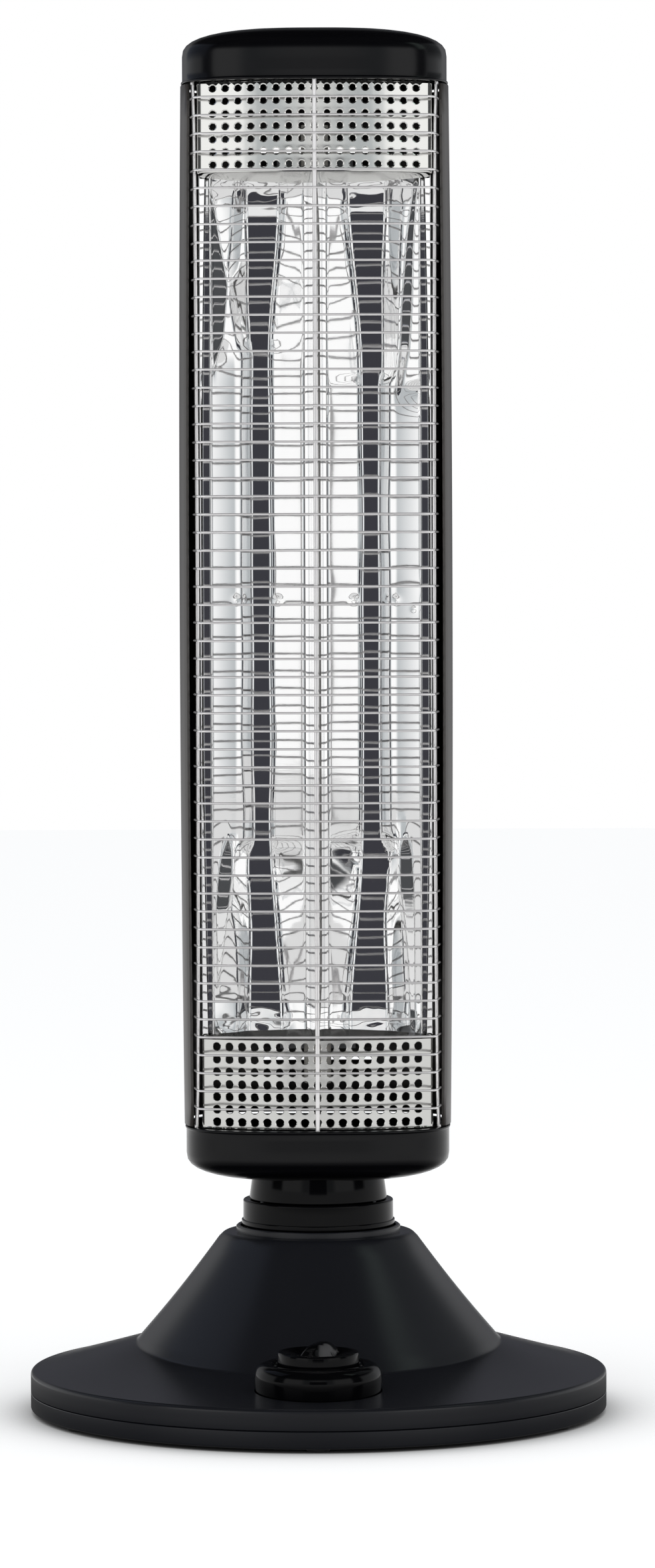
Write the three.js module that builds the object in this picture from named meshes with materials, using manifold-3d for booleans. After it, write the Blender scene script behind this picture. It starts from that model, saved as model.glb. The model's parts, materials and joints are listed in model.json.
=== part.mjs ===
// Electric radiant tower heater on a round base. Millimetres, +Z up, front towards -Y.
// The origin is the centre of the base disc, on the floor.
import * as THREE from "three";
import { mergeVertices } from "three/addons/utils/BufferGeometryUtils.js";
import Module from "manifold-3d";

const wasm = await Module();
wasm.setup();

// Clearances
const seatGap = 0.3; // between a piece and its seat
const turnGap = 0.5; // round a piece that turns or slides
const overrun = 2; // how far a cutter passes the face it cuts

// Smoothness of round pieces
const discSides = 44;
const coneSides = 28;
const roundSides = 20;
const smallSides = 8;

// Base disc: a tray below the seam, a shell above it
const discRadius = 148.7;
const trayBottom = 1.8;
const seamHeight = 10.5;
const trayFloor = 2.5;
const trayRim = 2.5;
const trayChamfer = 1.2;
const coverWall = 2.5;
const discWallTop = 16.7;
const shoulderWidth = 11.7;
const shoulderRise = 6.3;
const shoulderShares = [[0, 0], [0.13, 0.28], [0.4, 0.6], [0.74, 0.84], [1, 1]];
const slopeInset = 53.7; // from the disc's edge to the end of its slope
const slopeRadius = discRadius - slopeInset;
const slopeTop = 28;
const domeTop = 29;

// Cone of the base cover, round the neck's axis
const coneInset = 50.8; // the disc is that much wider than the cone
const coneRearGap = 15.8; // from the cone's back to the disc's edge
const coneFlare = 4;
const coneSink = 8.1;
const coneFlareRadius = discRadius - coneInset;
const neckY = discRadius - coneRearGap - coneFlareRadius;
const coneFootRadius = coneFlareRadius + coneSink;
const coneFootTop = 21.5;
const coneFlareTop = 28;
const coneLowRadius = coneFlareRadius - coneFlare;
const coneLowTop = 33;
const coneHighRadius = 51.6;
const coneHighTop = 86;
const coneTopRadius = 48.5;
const coneTop = 88.5;
const coneWall = 3.2; // across, level
const lipRadius = 42.4;
const lipTop = 92;

// Rubber feet, pushed through the tray
const footCount = 6;
const footInset = 8.7; // from the disc's edge
const footCircleRadius = discRadius - footInset;
const footRadius = 5.75;
const footStem = 2.2;
const footBarb = 3.2;
const footBarbHeight = 1.4;
const footChamfer = 0.5;

// Screws and posts that hold the cover to the tray
const coverScrewAngles = [-60, -120, 60, 120];
const coverScrewInset = 10.7; // from the disc's edge
const coverScrewRadius = discRadius - coverScrewInset;
const coverPost = 4.2;
const trayBoss = 5.5;
const trayBossTop = 8;
const screwShank = 1.5;
const screwHead = 3;
const screwHeadHeight = 1.8;
const coverScrewTop = 18;
const counterboreTop = 5.2;

// Ballast: an open steel ring on the tray's floor
const ballastInner = 62;
const ballastInset = 18.7; // from the disc's edge
const ballastOuter = discRadius - ballastInset;
const ballastThickness = 6;
const ballastCut = 46; // round the control
const ballastChannel = 22; // half-width of the way from there inwards, for the loom

// Control: turret, knob, shaft and rotary switch
const controlInset = 50.7; // from the disc's edge
const controlY = controlInset - discRadius;
const turretRadius = 31.8;
const turretFlange = 35;
const turretFlangeBottom = 18.9;
const turretFlangeThickness = 2;
const turretWall = 2.5;
const turretRimTop = 38.5;
const turretRimEdge = 3;
const turretSoftWidth = 1.05;
const turretSoftDrop = 0.75;
const turretWell = 25;
const turretFloorTop = 31;
const turretFloorThickness = 2;
const knobRadius = 20.6;
const knobBottom = 34;
const knobRimTop = 43.5;
const knobWall = 2;
const knobEdge = 0.9;
const knobEdgeDrop = 1;
const knobBarSink = 1;
const knobDishTop = 41;
const knobDishRadius = 14;
const knobBarTop = 48;
const knobBarWidth = 12;
// Half of the finger bar's outline, as shares of the knob's radius and of the bar's height
const knobBarHalf = [[0.93, 0], [0.93, 0.35], [0.72, 0.86], [0, 1]];
const knobBoss = 6;
const shaftRadius = 3;
const shaftBottom = 21;
const shaftTop = 40;
const switchSize = 26;
const switchBottom = 9;
const switchNeck = 5.4;

// Tip-over switch
const tipBehind = 58; // behind the control
const tipY = controlY + tipBehind;
const tipSize = 16;
const tipTop = 22;
const tipFloor = 1.6;
const tipChamber = 5;
const plungerRadius = 3;
const plungerBottom = 0.3;
const plungerTop = 15.5;
const plungerTravel = 4;
const plungerCollar = 4.5;
const plungerCollarHeight = 1.7;

// Swing drive: motor on a bridge, crank with a pin in a slot of the swivel plate
const crankOffset = 26; // from the neck's axis forward to the motor's
const crankThrow = 16.7;
const crankRadius = 20.5;
const crankBottom = 71.5;
const crankThickness = 3.5;
const crankPin = 2;
const crankHub = 3;
const crankHubLength = 6;
const motorRadius = 21;
const motorHeight = 19.5;
const motorEar = 27;
const motorEarWidth = 10;
const motorEarThickness = 2;
const bridgeSheet = 2;
const bridgeHalfWidth = 33;
const bridgeFoot = 12;
const bridgeDepth = 40;

// Swivel: plate under the cone's top, washer, screws
const plateRadius = 47.5;
const plateBottom = 80;
const plateThickness = 3.7;
const slotHalfWidth = 5.4;
const slotInner = 17;
const slotOuter = 45;
const harnessHole = 12;
const washerThickness = 1.7;
const washerRadius = 46;
const neckHole = 37;
const swivelScrewRadius = 33;
const swivelScrewAngles = [90, 210, 330];
const swivelScrewTop = 111;

// Neck ring and sleeve
const ringRadius = 40;
const ringTop = 105.4;
const neckBore = 30;
const sleeveLowRadius = 35.9;
const sleeveTopRadius = 34.2;
const sleeveTop = 118.5;
const sleeveFloor = 3.5;
const neckScrewRadius = 22;
const neckScrewAngles = [30, 150, 270];

// Rear housing: bent sheet, open at the front
const housingHalfWidth = 69.4;
const housingBulge = 1.5;
const housingHalfDepth = 49.5;
const housingPower = 3.2;
const housingSheet = 0.8;
const housingSpans = 6;
const housingPoints = 14;
const slotCount = 5;
const ventSlotLength = 60;
const ventSlotHeight = 3;
const ventSlotPitch = 10;
const ventSlotStart = 30; // from the cap's mating edge

// Head: two end caps with a housing between them
const capHalfWidth = 68.5;
const capDepthOver = 0.5; // how much deeper than the housing
const capHalfDepth = housingHalfDepth + capDepthOver;
const capPower = 3;
const capWall = 2;
const capLip = 0.6;
const capLipHeight = 1.2;
const capWallHeight = 14.3;
const crownHeight = 14.7;
const crownPower = 2.6;
const crownAngles = [0, 25, 50, 72, 86];
const capRingPoints = 20;
const bottomMate = 145;
const topMate = 684;
const capSeam = 1; // gap between cap and housing
const capPadRadius = 38;
const capPadTop = 123;
const ledgeThickness = 2;
const capPostWidth = 10;
const capPostX = 22;
const capPostGap = 2; // to the housing's back
const capPostDepth = 9.5;
const capPostBack = housingHalfDepth - capPostGap;
const capPostFront = capPostBack - capPostDepth;
const capPostReach = 12; // below the cap's mating edge
const capScrewReach = 7; // from the mating edge to the screw
const capScrewLength = 9;

// Depths in the head, each counted back from the front of the wires
const wireInset = 2.5; // behind the caps' front
const wireFront = wireInset - capHalfDepth;
const wireCornerBack = 3;
const coverBack = 7.5;
const wireSideBack = 15;
const housingFrontBack = 19.5;
const sideRodBack = 23.5;
const wireEndBack = 27.5;
const rimBack = 27.5; // the reflector's front bends, level with the lamp's axis
const ledgeDepth = 33.5;
const rimDepth = wireFront + rimBack;
const housingFront = wireFront + housingFrontBack;
const ledgeBack = wireFront + ledgeDepth;

// Depths of the reflector, each counted back from its front bends
const coverFlangeLap = 1;
const flangeBack = 3;
const ridgeBack = 12;
const legBack = 16;
const panelBack = 24;
const troughBack = 33;

// Heights in the head, each counted from a cap's mating edge
const reflectorStart = 47;
const reflectorEnd = 46;
const wireStart = 11.4;
const wireEnd = 8.8;
const bracketBackGap = 0.1;

// Reflector: polished sheet folded to a W
const reflectorBottom = bottomMate + reflectorStart;
const reflectorTop = topMate - reflectorEnd;
const reflectorSheet = 0.8;
const reflectorHalfWidth = 58;
const flangeDepth = rimDepth + flangeBack;
const legDepth = rimDepth + legBack;
const rimHalfWidth = 53.6;
const panelHalfWidth = 38;
const panelDepth = rimDepth + panelBack;
const troughOuter = 31;
const troughInner = 25;
const troughDepth = rimDepth + troughBack;
const ridgeHalfWidth = 6;
const ridgeDepth = rimDepth + ridgeBack;
const tabShares = [0.12, 0.5, 0.88];
const tabHeight = 12;
const tabDepth = ridgeDepth;
const tabGap = 0.8; // to the bent sheet of the housing

// Lamp
const lampV = rimDepth;
const tubeRadius = 4.1;
const tubeWall = 1;
const tubeInEnd = 15.4; // how far the tube reaches into a ceramic end
const strandRadius = 0.6;
const lampEndRadius = 7;
const lampEndLength = 22.5;
const bracketSheet = 1;
const bracketHalfWidth = 58.6;
const bracketBack = capPostBack - bracketBackGap;
const bracketNeckHalfWidth = 20;
const bracketWideBack = panelDepth;
const bracketFlange = 12;

// Perforated end covers
const coverSheet = 0.8;
const coverHalfWidth = 59.7;
const coverFront = wireFront + coverBack;
const coverBowRadius = 140;
const coverCorner = 3.2;
const coverFlangeBack = rimDepth + coverFlangeLap;
const holeColumns = 17;
const holeRows = 7;
const holePitch = 6.5;
const holeRadius = 1.9;
const holeSides = 4;
const holeStart = 4.8; // from the cap's mating edge to the first row

// Wire guard
const wireCount = 57;
const wireRadius = 0.75;
const wireSides = 4;
const wireFirst = bottomMate + wireStart;
const wireLast = topMate - wireEnd;
const wireCornerX = 53.8;
const wireCornerDepth = wireFront + wireCornerBack;
const wireSideX = 60;
const wireSideDepth = wireFront + wireSideBack;
const wireEndX = 62.4;
const wireEndDepth = wireFront + wireEndBack;
const guardBow = 1.7; // how much wider the guard is at its ends than at its middle
const sideRodRadius = 1.35;
const sideRodX = 59.9;
const sideRodDepth = wireFront + sideRodBack;
const centreRodRadius = 1;
const rodSides = 6;
const rodSpans = 6;
const rodReach = 1.8; // into the cap's ledge
const weldSink = 0.3;

// Thermal cut-out on the back of the reflector
const cutoutRadius = 8;
const cutoutDepth = 6;
const cutoutDrop = 94; // below the top cap's mating edge
const cutoutHeight = topMate - cutoutDrop;

// Wiring looms
const loomRadius = 2.4;
const loomSides = 6;
const loomBack = capPostFront;
const loomBend = 12;
const loomLift = 1.5; // over the tray's floor
const loomSlack = 2; // round it in the lamp brackets

// Cord gland, flush in the rear wall at the seam
const glandNeck = 4.6;
const glandCollar = 5.8;
const glandCollarLength = 6;
const glandBore = 3.3;
const glandX = 18; // beside the rear foot

const degrees = THREE.MathUtils.degToRad;
const flatTurn = new THREE.Matrix4().makeRotationX(degrees(90));

// A closed geometry as a solid that can be joined and cut.
function solid(geometry) {
  const bare = new THREE.BufferGeometry().setAttribute("position", geometry.getAttribute("position"));
  bare.setIndex(geometry.index);
  const merged = mergeVertices(bare);
  return new wasm.Manifold(
    new wasm.Mesh({
      numProp: 3,
      vertProperties: merged.getAttribute("position").array,
      triVerts: new Uint32Array(merged.index.array),
    }),
  );
}

// A solid moved to a place.
const at = (body, x, y, z) => body.translate([x, y, z]);

// A profile of [radius, height] points, anticlockwise with the axis on its left, turned about +Z.
function turned(profile, sides) {
  const points = profile.map(([radius, height]) => new THREE.Vector2(radius, height));
  return solid(new THREE.LatheGeometry(points, sides).applyMatrix4(flatTurn));
}

// A round bar or hole between two heights.
const bar = (radius, low, high, sides = roundSides) =>
  turned([[0, low], [radius, low], [radius, high], [0, high]], sides);

// A round bar or hole along +Y, from one depth to another.
const barAlongY = (radius, front, back, sides = roundSides) =>
  bar(radius, -back, -front, sides).rotate([90, 0, 0]);

// A box between two corners.
function block([x0, y0, z0], [x1, y1, z1]) {
  const box = solid(new THREE.BoxGeometry(x1 - x0, y1 - y0, z1 - z0));
  return at(box, (x0 + x1) / 2, (y0 + y1) / 2, (z0 + z1) / 2);
}

// A closed outline of [x, y] points, standing between two heights.
function standing(outline, low, high) {
  const shape = new THREE.Shape(outline.map(([x, y]) => new THREE.Vector2(x, y)));
  return at(solid(new THREE.ExtrudeGeometry(shape, { depth: high - low, bevelEnabled: false })), 0, 0, low);
}

// A closed outline of [y, z] points, standing across from one x to another.
const across = (outline, left, right) => standing(outline, left, right).rotate([90, 0, 90]);

// The outline of a sheet that follows a line of [x, y] points on its left side.
function sheetOutline(line, thickness) {
  const points = line.map(([x, y]) => new THREE.Vector2(x, y));
  const offset = points.map((point, i) => {
    const before = points[Math.max(i - 1, 0)];
    const after = points[Math.min(i + 1, points.length - 1)];
    const inward = i === 0 ? after.clone().sub(point) : point.clone().sub(before);
    const outward = i === points.length - 1 ? inward.clone() : after.clone().sub(point);
    const mean = inward.normalize().clone().add(outward.normalize()).normalize();
    const side = new THREE.Vector2(-mean.y, mean.x);
    return point.clone().addScaledVector(side, thickness / mean.dot(outward));
  });
  return [...points, ...offset.reverse()].map(({ x, y }) => [x, y]);
}

// Triangles that close a ring of points by a fan.
const fan = (count) => Array.from({ length: count - 2 }, (_, i) => [0, i + 1, i + 2]);

// A closed solid skinned over rings of points, each anticlockwise seen from the last ring's side.
function skinned(rings, ends = fan(rings[0].length)) {
  const count = rings[0].length;
  const last = (rings.length - 1) * count;
  const faces = [];
  rings.slice(1).forEach((_, ring) => {
    for (let i = 0; i < count; i++) {
      const a = ring * count + i;
      const b = ring * count + ((i + 1) % count);
      faces.push(a, b, b + count, a, b + count, a + count);
    }
  });
  ends.forEach(([a, b, c]) => faces.push(c, b, a, last + a, last + b, last + c));
  const geometry = new THREE.BufferGeometry().setFromPoints(rings.flat());
  return solid(geometry.setIndex(faces));
}

// A wire with mitred corners along points that lie in the plane square to flat.
function wire(points, radius, sides, flat) {
  const rings = points.map((point, i) => {
    const before = points[Math.max(i - 1, 0)];
    const after = points[Math.min(i + 1, points.length - 1)];
    const inward = (i === 0 ? after.clone().sub(point) : point.clone().sub(before)).normalize();
    const outward = i === points.length - 1 ? inward.clone() : after.clone().sub(point).normalize();
    const along = inward.clone().add(outward).normalize();
    const side = flat.clone().cross(along).multiplyScalar(radius / along.dot(outward));
    return Array.from({ length: sides }, (_, k) => {
      const turn = degrees((360 * (k + 0.5)) / sides);
      const ringPoint = point.clone().addScaledVector(side, Math.cos(turn));
      return ringPoint.addScaledVector(flat, radius * Math.sin(turn));
    });
  });
  return skinned(rings);
}

// A loom along a smooth curve through points.
function loom(points, steps) {
  const section = new THREE.Shape(
    Array.from({ length: loomSides }, (_, k) => {
      const turn = degrees((360 * k) / loomSides);
      return new THREE.Vector2(loomRadius * Math.cos(turn), loomRadius * Math.sin(turn));
    }),
  );
  const extrudePath = new THREE.CatmullRomCurve3(points.map((point) => new THREE.Vector3(...point)));
  return solid(new THREE.ExtrudeGeometry(section, { extrudePath, steps }));
}

// A place on a circle, at an angle in degrees from +X.
const polar = (radius, angle) => [radius * Math.cos(degrees(angle)), radius * Math.sin(degrees(angle))];

// The outward half-width of a superellipse at a depth.
const widthAt = (depth, halfWidth, halfDepth, power) =>
  halfWidth * (1 - Math.abs(depth / halfDepth) ** power) ** (1 / power);

// A superellipse outline, anticlockwise.
function superellipse(halfWidth, halfDepth, power, count) {
  const reach = (value) => Math.sign(value) * Math.abs(value) ** (2 / power);
  return Array.from({ length: count }, (_, i) => {
    const turn = (2 * Math.PI * i) / count;
    return [halfWidth * reach(Math.cos(turn)), halfDepth * reach(Math.sin(turn))];
  });
}

const heater = new THREE.Group();
heater.name = "radiant_heater";
const head = new THREE.Group();
head.name = "head";
head.position.set(0, neckY, 0);
heater.add(head);

// A solid as a named mesh with its own material, added to its group.
function add(group, name, body, [color, roughness, metalness]) {
  const { vertProperties, triVerts, numProp } = body.getMesh();
  const geometry = new THREE.BufferGeometry();
  const positions = new Float32Array((vertProperties.length / numProp) * 3);
  for (let i = 0; i * numProp < vertProperties.length; i++)
    positions.set(vertProperties.subarray(i * numProp, i * numProp + 3), i * 3);
  geometry.setAttribute("position", new THREE.BufferAttribute(positions, 3));
  geometry.setIndex(new THREE.BufferAttribute(new Uint32Array(triVerts), 1));
  geometry.computeVertexNormals();
  const material = new THREE.MeshStandardMaterial({ color, roughness, metalness });
  const mesh = new THREE.Mesh(geometry, material);
  mesh.name = name;
  group.add(mesh);
}

// Finishes: colour, roughness, metalness
const satinBlack = [0x26282c, 0.45, 0];
const glossBlack = [0x0c0c0e, 0.12, 0];
const sheetBlack = [0x222326, 0.5, 0.1];
const polished = [0xdcdcdc, 0.1, 1];
const steel = [0xa8a8a8, 0.35, 1];
const darkSteel = [0x55585c, 0.5, 1];
const quartz = [0xe6ecf0, 0.05, 0];
const carbon = [0x333333, 0.8, 0];
const porcelain = [0xf0ece4, 0.5, 0];
const rubber = [0x1a1a1a, 0.9, 0];
const nylon = [0xe8e4d8, 0.5, 0];
const darkPlastic = [0x34363a, 0.6, 0];
const brass = [0xb5924c, 0.35, 1];

// A pan-head screw that stands with its head at the bottom and its tip up.
function screwUp(headBottom, tip) {
  const headTop = headBottom + screwHeadHeight;
  const profile = [[0, headBottom], [screwHead, headBottom], [screwHead, headTop]];
  profile.push([screwShank, headTop], [screwShank, tip], [0, tip]);
  return turned(profile, smallSides);
}

const screwHole = screwShank + seatGap;
const trayFloorTop = trayBottom + trayFloor;
const floorSeat = trayFloorTop + seatGap;

// A body with screw holes on a circle, between two heights.
const withHoles = (body, radius, angles, low, high) =>
  angles.reduce((left, angle) => {
    const [x, y] = polar(radius, angle);
    return left.subtract(at(bar(screwHole, low, high, smallSides), x, y, 0));
  }, body);

// Feet
for (let i = 0; i < footCount; i++) {
  const [x, y] = polar(footCircleRadius, -90 + (360 * i) / footCount);
  const padTop = trayBottom - seatGap;
  const barbBottom = trayFloorTop + seatGap;
  const profile = [[0, 0], [footRadius - footChamfer, 0], [footRadius, footChamfer]];
  profile.push([footRadius, padTop]);
  profile.push([footStem, padTop], [footStem, barbBottom], [footBarb, barbBottom]);
  profile.push([footStem, barbBottom + footBarbHeight], [0, barbBottom + footBarbHeight]);
  add(heater, `foot_${i + 1}`, at(turned(profile, smallSides), x, y, 0), rubber);
}

// Base plate: a moulded tray with bosses for the screws and holes for the feet and the tip-over plunger
function basePlate() {
  const rimInner = discRadius - trayRim;
  const profile = [[0, trayBottom], [discRadius - trayChamfer, trayBottom]];
  profile.push([discRadius, trayBottom + trayChamfer], [discRadius, seamHeight], [rimInner, seamHeight]);
  profile.push([rimInner, trayFloorTop], [0, trayFloorTop]);
  let tray = turned(profile, discSides);
  for (const angle of coverScrewAngles) {
    const [x, y] = polar(coverScrewRadius, angle);
    tray = tray.add(at(bar(trayBoss, trayBottom + seatGap, trayBossTop, smallSides), x, y, 0));
    tray = tray.subtract(at(bar(screwHead + turnGap, -overrun, counterboreTop, smallSides), x, y, 0));
    tray = tray.subtract(at(bar(screwHole, 0, trayBossTop + overrun, smallSides), x, y, 0));
  }
  for (let i = 0; i < footCount; i++) {
    const [x, y] = polar(footCircleRadius, -90 + (360 * i) / footCount);
    tray = tray.subtract(at(bar(footStem + seatGap, 0, trayFloorTop + overrun, smallSides), x, y, 0));
  }
  tray = tray.subtract(at(bar(plungerRadius + turnGap, 0, trayFloorTop + overrun, smallSides), 0, tipY, 0));
  return tray.subtract(glandHole());
}

// The hole for the cord gland, shared by the tray's rim and the cover's wall
const wallBack = Math.sqrt(discRadius ** 2 - (glandX + glandCollar) ** 2) * Math.cos(Math.PI / coneSides);
function glandHole() {
  const front = wallBack - trayRim - overrun;
  const hole = barAlongY(glandNeck + seatGap, front, discRadius + overrun, smallSides);
  return at(hole, glandX, 0, seamHeight);
}

// Base cover: the disc's shell with the cone on it, hollow
function baseCover() {
  const bottom = seamHeight + seatGap;
  const shoulder = shoulderShares.map(([inward, up]) => [
    discRadius - inward * shoulderWidth,
    discWallTop + up * shoulderRise,
  ]);
  const disc = [[0, bottom], [discRadius, bottom], ...shoulder, [slopeRadius, slopeTop], [0, domeTop]];
  const cone = [[0, bottom], [coneFootRadius, bottom], [coneFootRadius, coneFootTop]];
  cone.push([coneFlareRadius, coneFlareTop], [coneLowRadius, coneLowTop], [coneHighRadius, coneHighTop]);
  cone.push([coneTopRadius, coneTop], [lipRadius, coneTop], [lipRadius, lipTop], [0, lipTop]);
  const innerRadius = discRadius - coverWall;
  const innerLow = bottom - overrun;
  const discHollow = [[0, innerLow], [innerRadius, innerLow], [innerRadius, discWallTop - seatGap]];
  discHollow.push([discRadius - shoulderWidth, discWallTop + shoulderRise - coverWall]);
  discHollow.push([slopeRadius, slopeTop - coverWall], [0, domeTop - coverWall]);
  const coneHollow = [[0, innerLow], [coneLowRadius - coneWall, innerLow]];
  coneHollow.push([coneLowRadius - coneWall, coneLowTop]);
  coneHollow.push([coneHighRadius - coneWall, coneTop - coverWall], [0, coneTop - coverWall]);
  const outer = turned(disc, discSides).add(at(turned(cone, coneSides), 0, neckY, 0));
  const hollow = turned(discHollow, coneSides).add(at(turned(coneHollow, coneSides), 0, neckY, 0));
  let cover = outer.subtract(hollow);
  for (const angle of coverScrewAngles) {
    const [x, y] = polar(coverScrewRadius, angle);
    const post = at(bar(coverPost, trayBossTop + seatGap, slopeTop, smallSides), x, y, 0);
    const top = outer.add(bar(discRadius - coverWall, trayBossTop, bottom, coneSides));
    cover = cover.add(post.intersect(top));
    cover = cover.subtract(at(bar(screwHole, 0, coverScrewTop + turnGap, smallSides), x, y, 0));
  }
  cover = cover.subtract(at(bar(turretRadius + seatGap, bottom, turretRimTop), 0, controlY, 0));
  cover = cover.subtract(at(bar(neckHole, coneTop - coverWall - overrun, lipTop + overrun), 0, neckY, 0));
  return cover.subtract(glandHole());
}

add(heater, "base_plate", basePlate(), satinBlack);
add(heater, "base_cover", baseCover(), satinBlack);

coverScrewAngles.forEach((angle, i) => {
  const [x, y] = polar(coverScrewRadius, angle);
  const screw = screwUp(counterboreTop - seatGap - screwHeadHeight, coverScrewTop);
  add(heater, `base_screw_${i + 1}`, at(screw, x, y, 0), steel);
});

// Ballast: a ring open round the control
function ballast() {
  const top = floorSeat + ballastThickness;
  const profile = [[ballastInner, floorSeat], [ballastOuter, floorSeat], [ballastOuter, top]];
  profile.push([ballastInner, top], [ballastInner, floorSeat]);
  const cut = at(bar(ballastCut, 0, top + overrun, roundSides), 0, controlY, 0);
  const channel = block([-ballastChannel, controlY, 0], [ballastChannel, 0, top + overrun]);
  return turned(profile, coneSides).subtract(cut).subtract(channel);
}
add(heater, "ballast_plate", ballast(), darkSteel);

// Turret: the round well that the knob turns in, flanged under the cover
function turret() {
  const floorBottom = turretFloorTop - turretFloorThickness;
  const flangeTop = turretFlangeBottom + turretFlangeThickness;
  const inner = turretRadius - turretWall;
  const rimMiddle = (turretRadius + turretWell) / 2;
  const edge = turretRimTop - turretRimEdge;
  const softEdge = turretRimTop - turretSoftDrop;
  const profile = [[inner, turretFlangeBottom], [turretFlange, turretFlangeBottom]];
  profile.push([turretFlange, flangeTop], [turretRadius, flangeTop]);
  profile.push([turretRadius, edge], [turretRadius - turretSoftWidth, softEdge]);
  profile.push([rimMiddle, turretRimTop], [turretWell + turretSoftWidth, softEdge], [turretWell, edge]);
  profile.push([turretWell, turretFloorTop], [switchNeck + turnGap, turretFloorTop]);
  profile.push([switchNeck + turnGap, floorBottom], [inner, floorBottom], [inner, turretFlangeBottom]);
  return turned(profile, roundSides);
}

// Knob: hollow skirt, dished top, finger bar across it and a boss for the shaft
function knob() {
  const rim = knobRadius - knobEdge;
  const skirtInner = knobRadius - knobWall;
  const ceiling = knobDishTop - knobWall;
  const profile = [[skirtInner, knobBottom], [knobRadius, knobBottom]];
  profile.push([knobRadius, knobRimTop - knobEdgeDrop], [rim, knobRimTop], [rim - knobWall, knobRimTop]);
  profile.push([knobDishRadius, knobDishTop], [0, knobDishTop]);
  profile.push([0, ceiling], [skirtInner, ceiling], [skirtInner, knobBottom]);
  const barBase = knobDishTop - knobBarSink;
  const back = knobBarHalf.map(([along, up]) => [along * knobRadius, barBase + up * (knobBarTop - barBase)]);
  const front = back.slice(0, -1).reverse().map(([y, z]) => [-y, z]);
  const fingerBar = across([...back, ...front], -knobBarWidth / 2, knobBarWidth / 2);
  const boss = bar(knobBoss, knobBottom, barBase, smallSides);
  const socket = bar(shaftRadius + seatGap, knobBottom - overrun, shaftTop + seatGap, smallSides);
  return turned(profile, roundSides).add(fingerBar).add(boss).subtract(socket);
}

// Rotary switch: a block under the turret's floor with a neck that the shaft turns in
function rotarySwitch() {
  const top = turretFloorTop - turretFloorThickness - seatGap;
  const half = switchSize / 2;
  const neck = bar(switchNeck, top - overrun, turretFloorTop, smallSides);
  const bore = bar(shaftRadius + seatGap, shaftBottom - seatGap, turretFloorTop + overrun, smallSides);
  return block([-half, -half, switchBottom], [half, half, top]).add(neck).subtract(bore);
}

add(heater, "control_bezel", at(turret(), 0, controlY, 0), glossBlack);
add(heater, "control_knob", at(knob(), 0, controlY, 0), glossBlack);
add(heater, "switch_shaft", at(bar(shaftRadius, shaftBottom, shaftTop, smallSides), 0, controlY, 0), steel);
add(heater, "rotary_switch", at(rotarySwitch(), 0, controlY, 0), darkPlastic);

// Tip-over switch: a box whose chamber holds the plunger's collar
const tipShelf = floorSeat + tipFloor;
const collarBottom = tipShelf + seatGap + plungerTravel;
const collarTop = collarBottom + plungerCollarHeight;
function tipSwitch() {
  const half = tipSize / 2;
  const way = bar(plungerRadius + turnGap, floorSeat - overrun, tipShelf + overrun, smallSides);
  const chamber = bar(tipChamber, tipShelf, plungerTop + turnGap, smallSides);
  return block([-half, -half, floorSeat], [half, half, tipTop]).subtract(chamber).subtract(way);
}
function plunger() {
  const profile = [[0, plungerBottom], [plungerRadius, plungerBottom], [plungerRadius, collarBottom]];
  profile.push([plungerCollar, collarBottom], [plungerCollar, collarTop], [plungerRadius, collarTop]);
  profile.push([plungerRadius, plungerTop], [0, plungerTop]);
  return turned(profile, smallSides);
}
add(heater, "tip_switch_body", at(tipSwitch(), 0, tipY, 0), darkPlastic);
add(heater, "tip_switch_plunger", at(plunger(), 0, tipY, 0), nylon);

// Swing drive: a bridge on the tray carries the motor, whose crank turns under the swivel plate
const crankY = neckY - crankOffset;
const motorTop = crankBottom - seatGap - turnGap;
const motorBottom = motorTop - motorHeight;
function bridge() {
  const top = motorBottom - seatGap;
  const foot = bridgeHalfWidth + bridgeFoot;
  const line = [[foot, floorSeat], [bridgeHalfWidth, floorSeat], [bridgeHalfWidth, top - bridgeSheet]];
  line.push([-bridgeHalfWidth, top - bridgeSheet], [-bridgeHalfWidth, floorSeat], [-foot, floorSeat]);
  const hat = sheetOutline(line.reverse(), bridgeSheet);
  return standing(hat, -bridgeDepth / 2, bridgeDepth / 2).rotate([90, 0, 0]);
}
function motor() {
  const half = motorEarWidth / 2;
  const ears = block([-motorEar, -half, motorBottom], [motorEar, half, motorBottom + motorEarThickness]);
  const bore = bar(crankHub + seatGap, motorTop - crankHubLength - seatGap, motorTop + overrun, smallSides);
  return bar(motorRadius, motorBottom, motorTop).add(ears).subtract(bore);
}
function crank() {
  const top = crankBottom + crankThickness;
  const hub = bar(crankHub, motorTop - crankHubLength, crankBottom + overrun, smallSides);
  const pinTop = plateBottom + plateThickness - seatGap;
  const pin = at(bar(crankPin, top - overrun, pinTop, smallSides), 0, -crankThrow, 0);
  return bar(crankRadius, crankBottom, top).add(hub).add(pin);
}
add(heater, "motor_bracket", at(bridge(), 0, crankY, 0), steel);
add(heater, "swing_motor", at(motor(), 0, crankY, 0), darkSteel);
add(heater, "crank_disc", at(crank(), 0, crankY, 0), nylon);

// Cord gland
function gland() {
  const back = wallBack;
  const collarBack = wallBack - Math.max(trayRim, coverWall) - seatGap;
  const neck = barAlongY(glandNeck, collarBack - overrun, back, smallSides);
  const collar = barAlongY(glandCollar, collarBack - glandCollarLength, collarBack, smallSides);
  return neck.add(collar).subtract(barAlongY(glandBore, 0, discRadius + overrun, smallSides));
}
add(heater, "cord_gland", at(gland(), glandX, 0, seamHeight), rubber);

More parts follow.
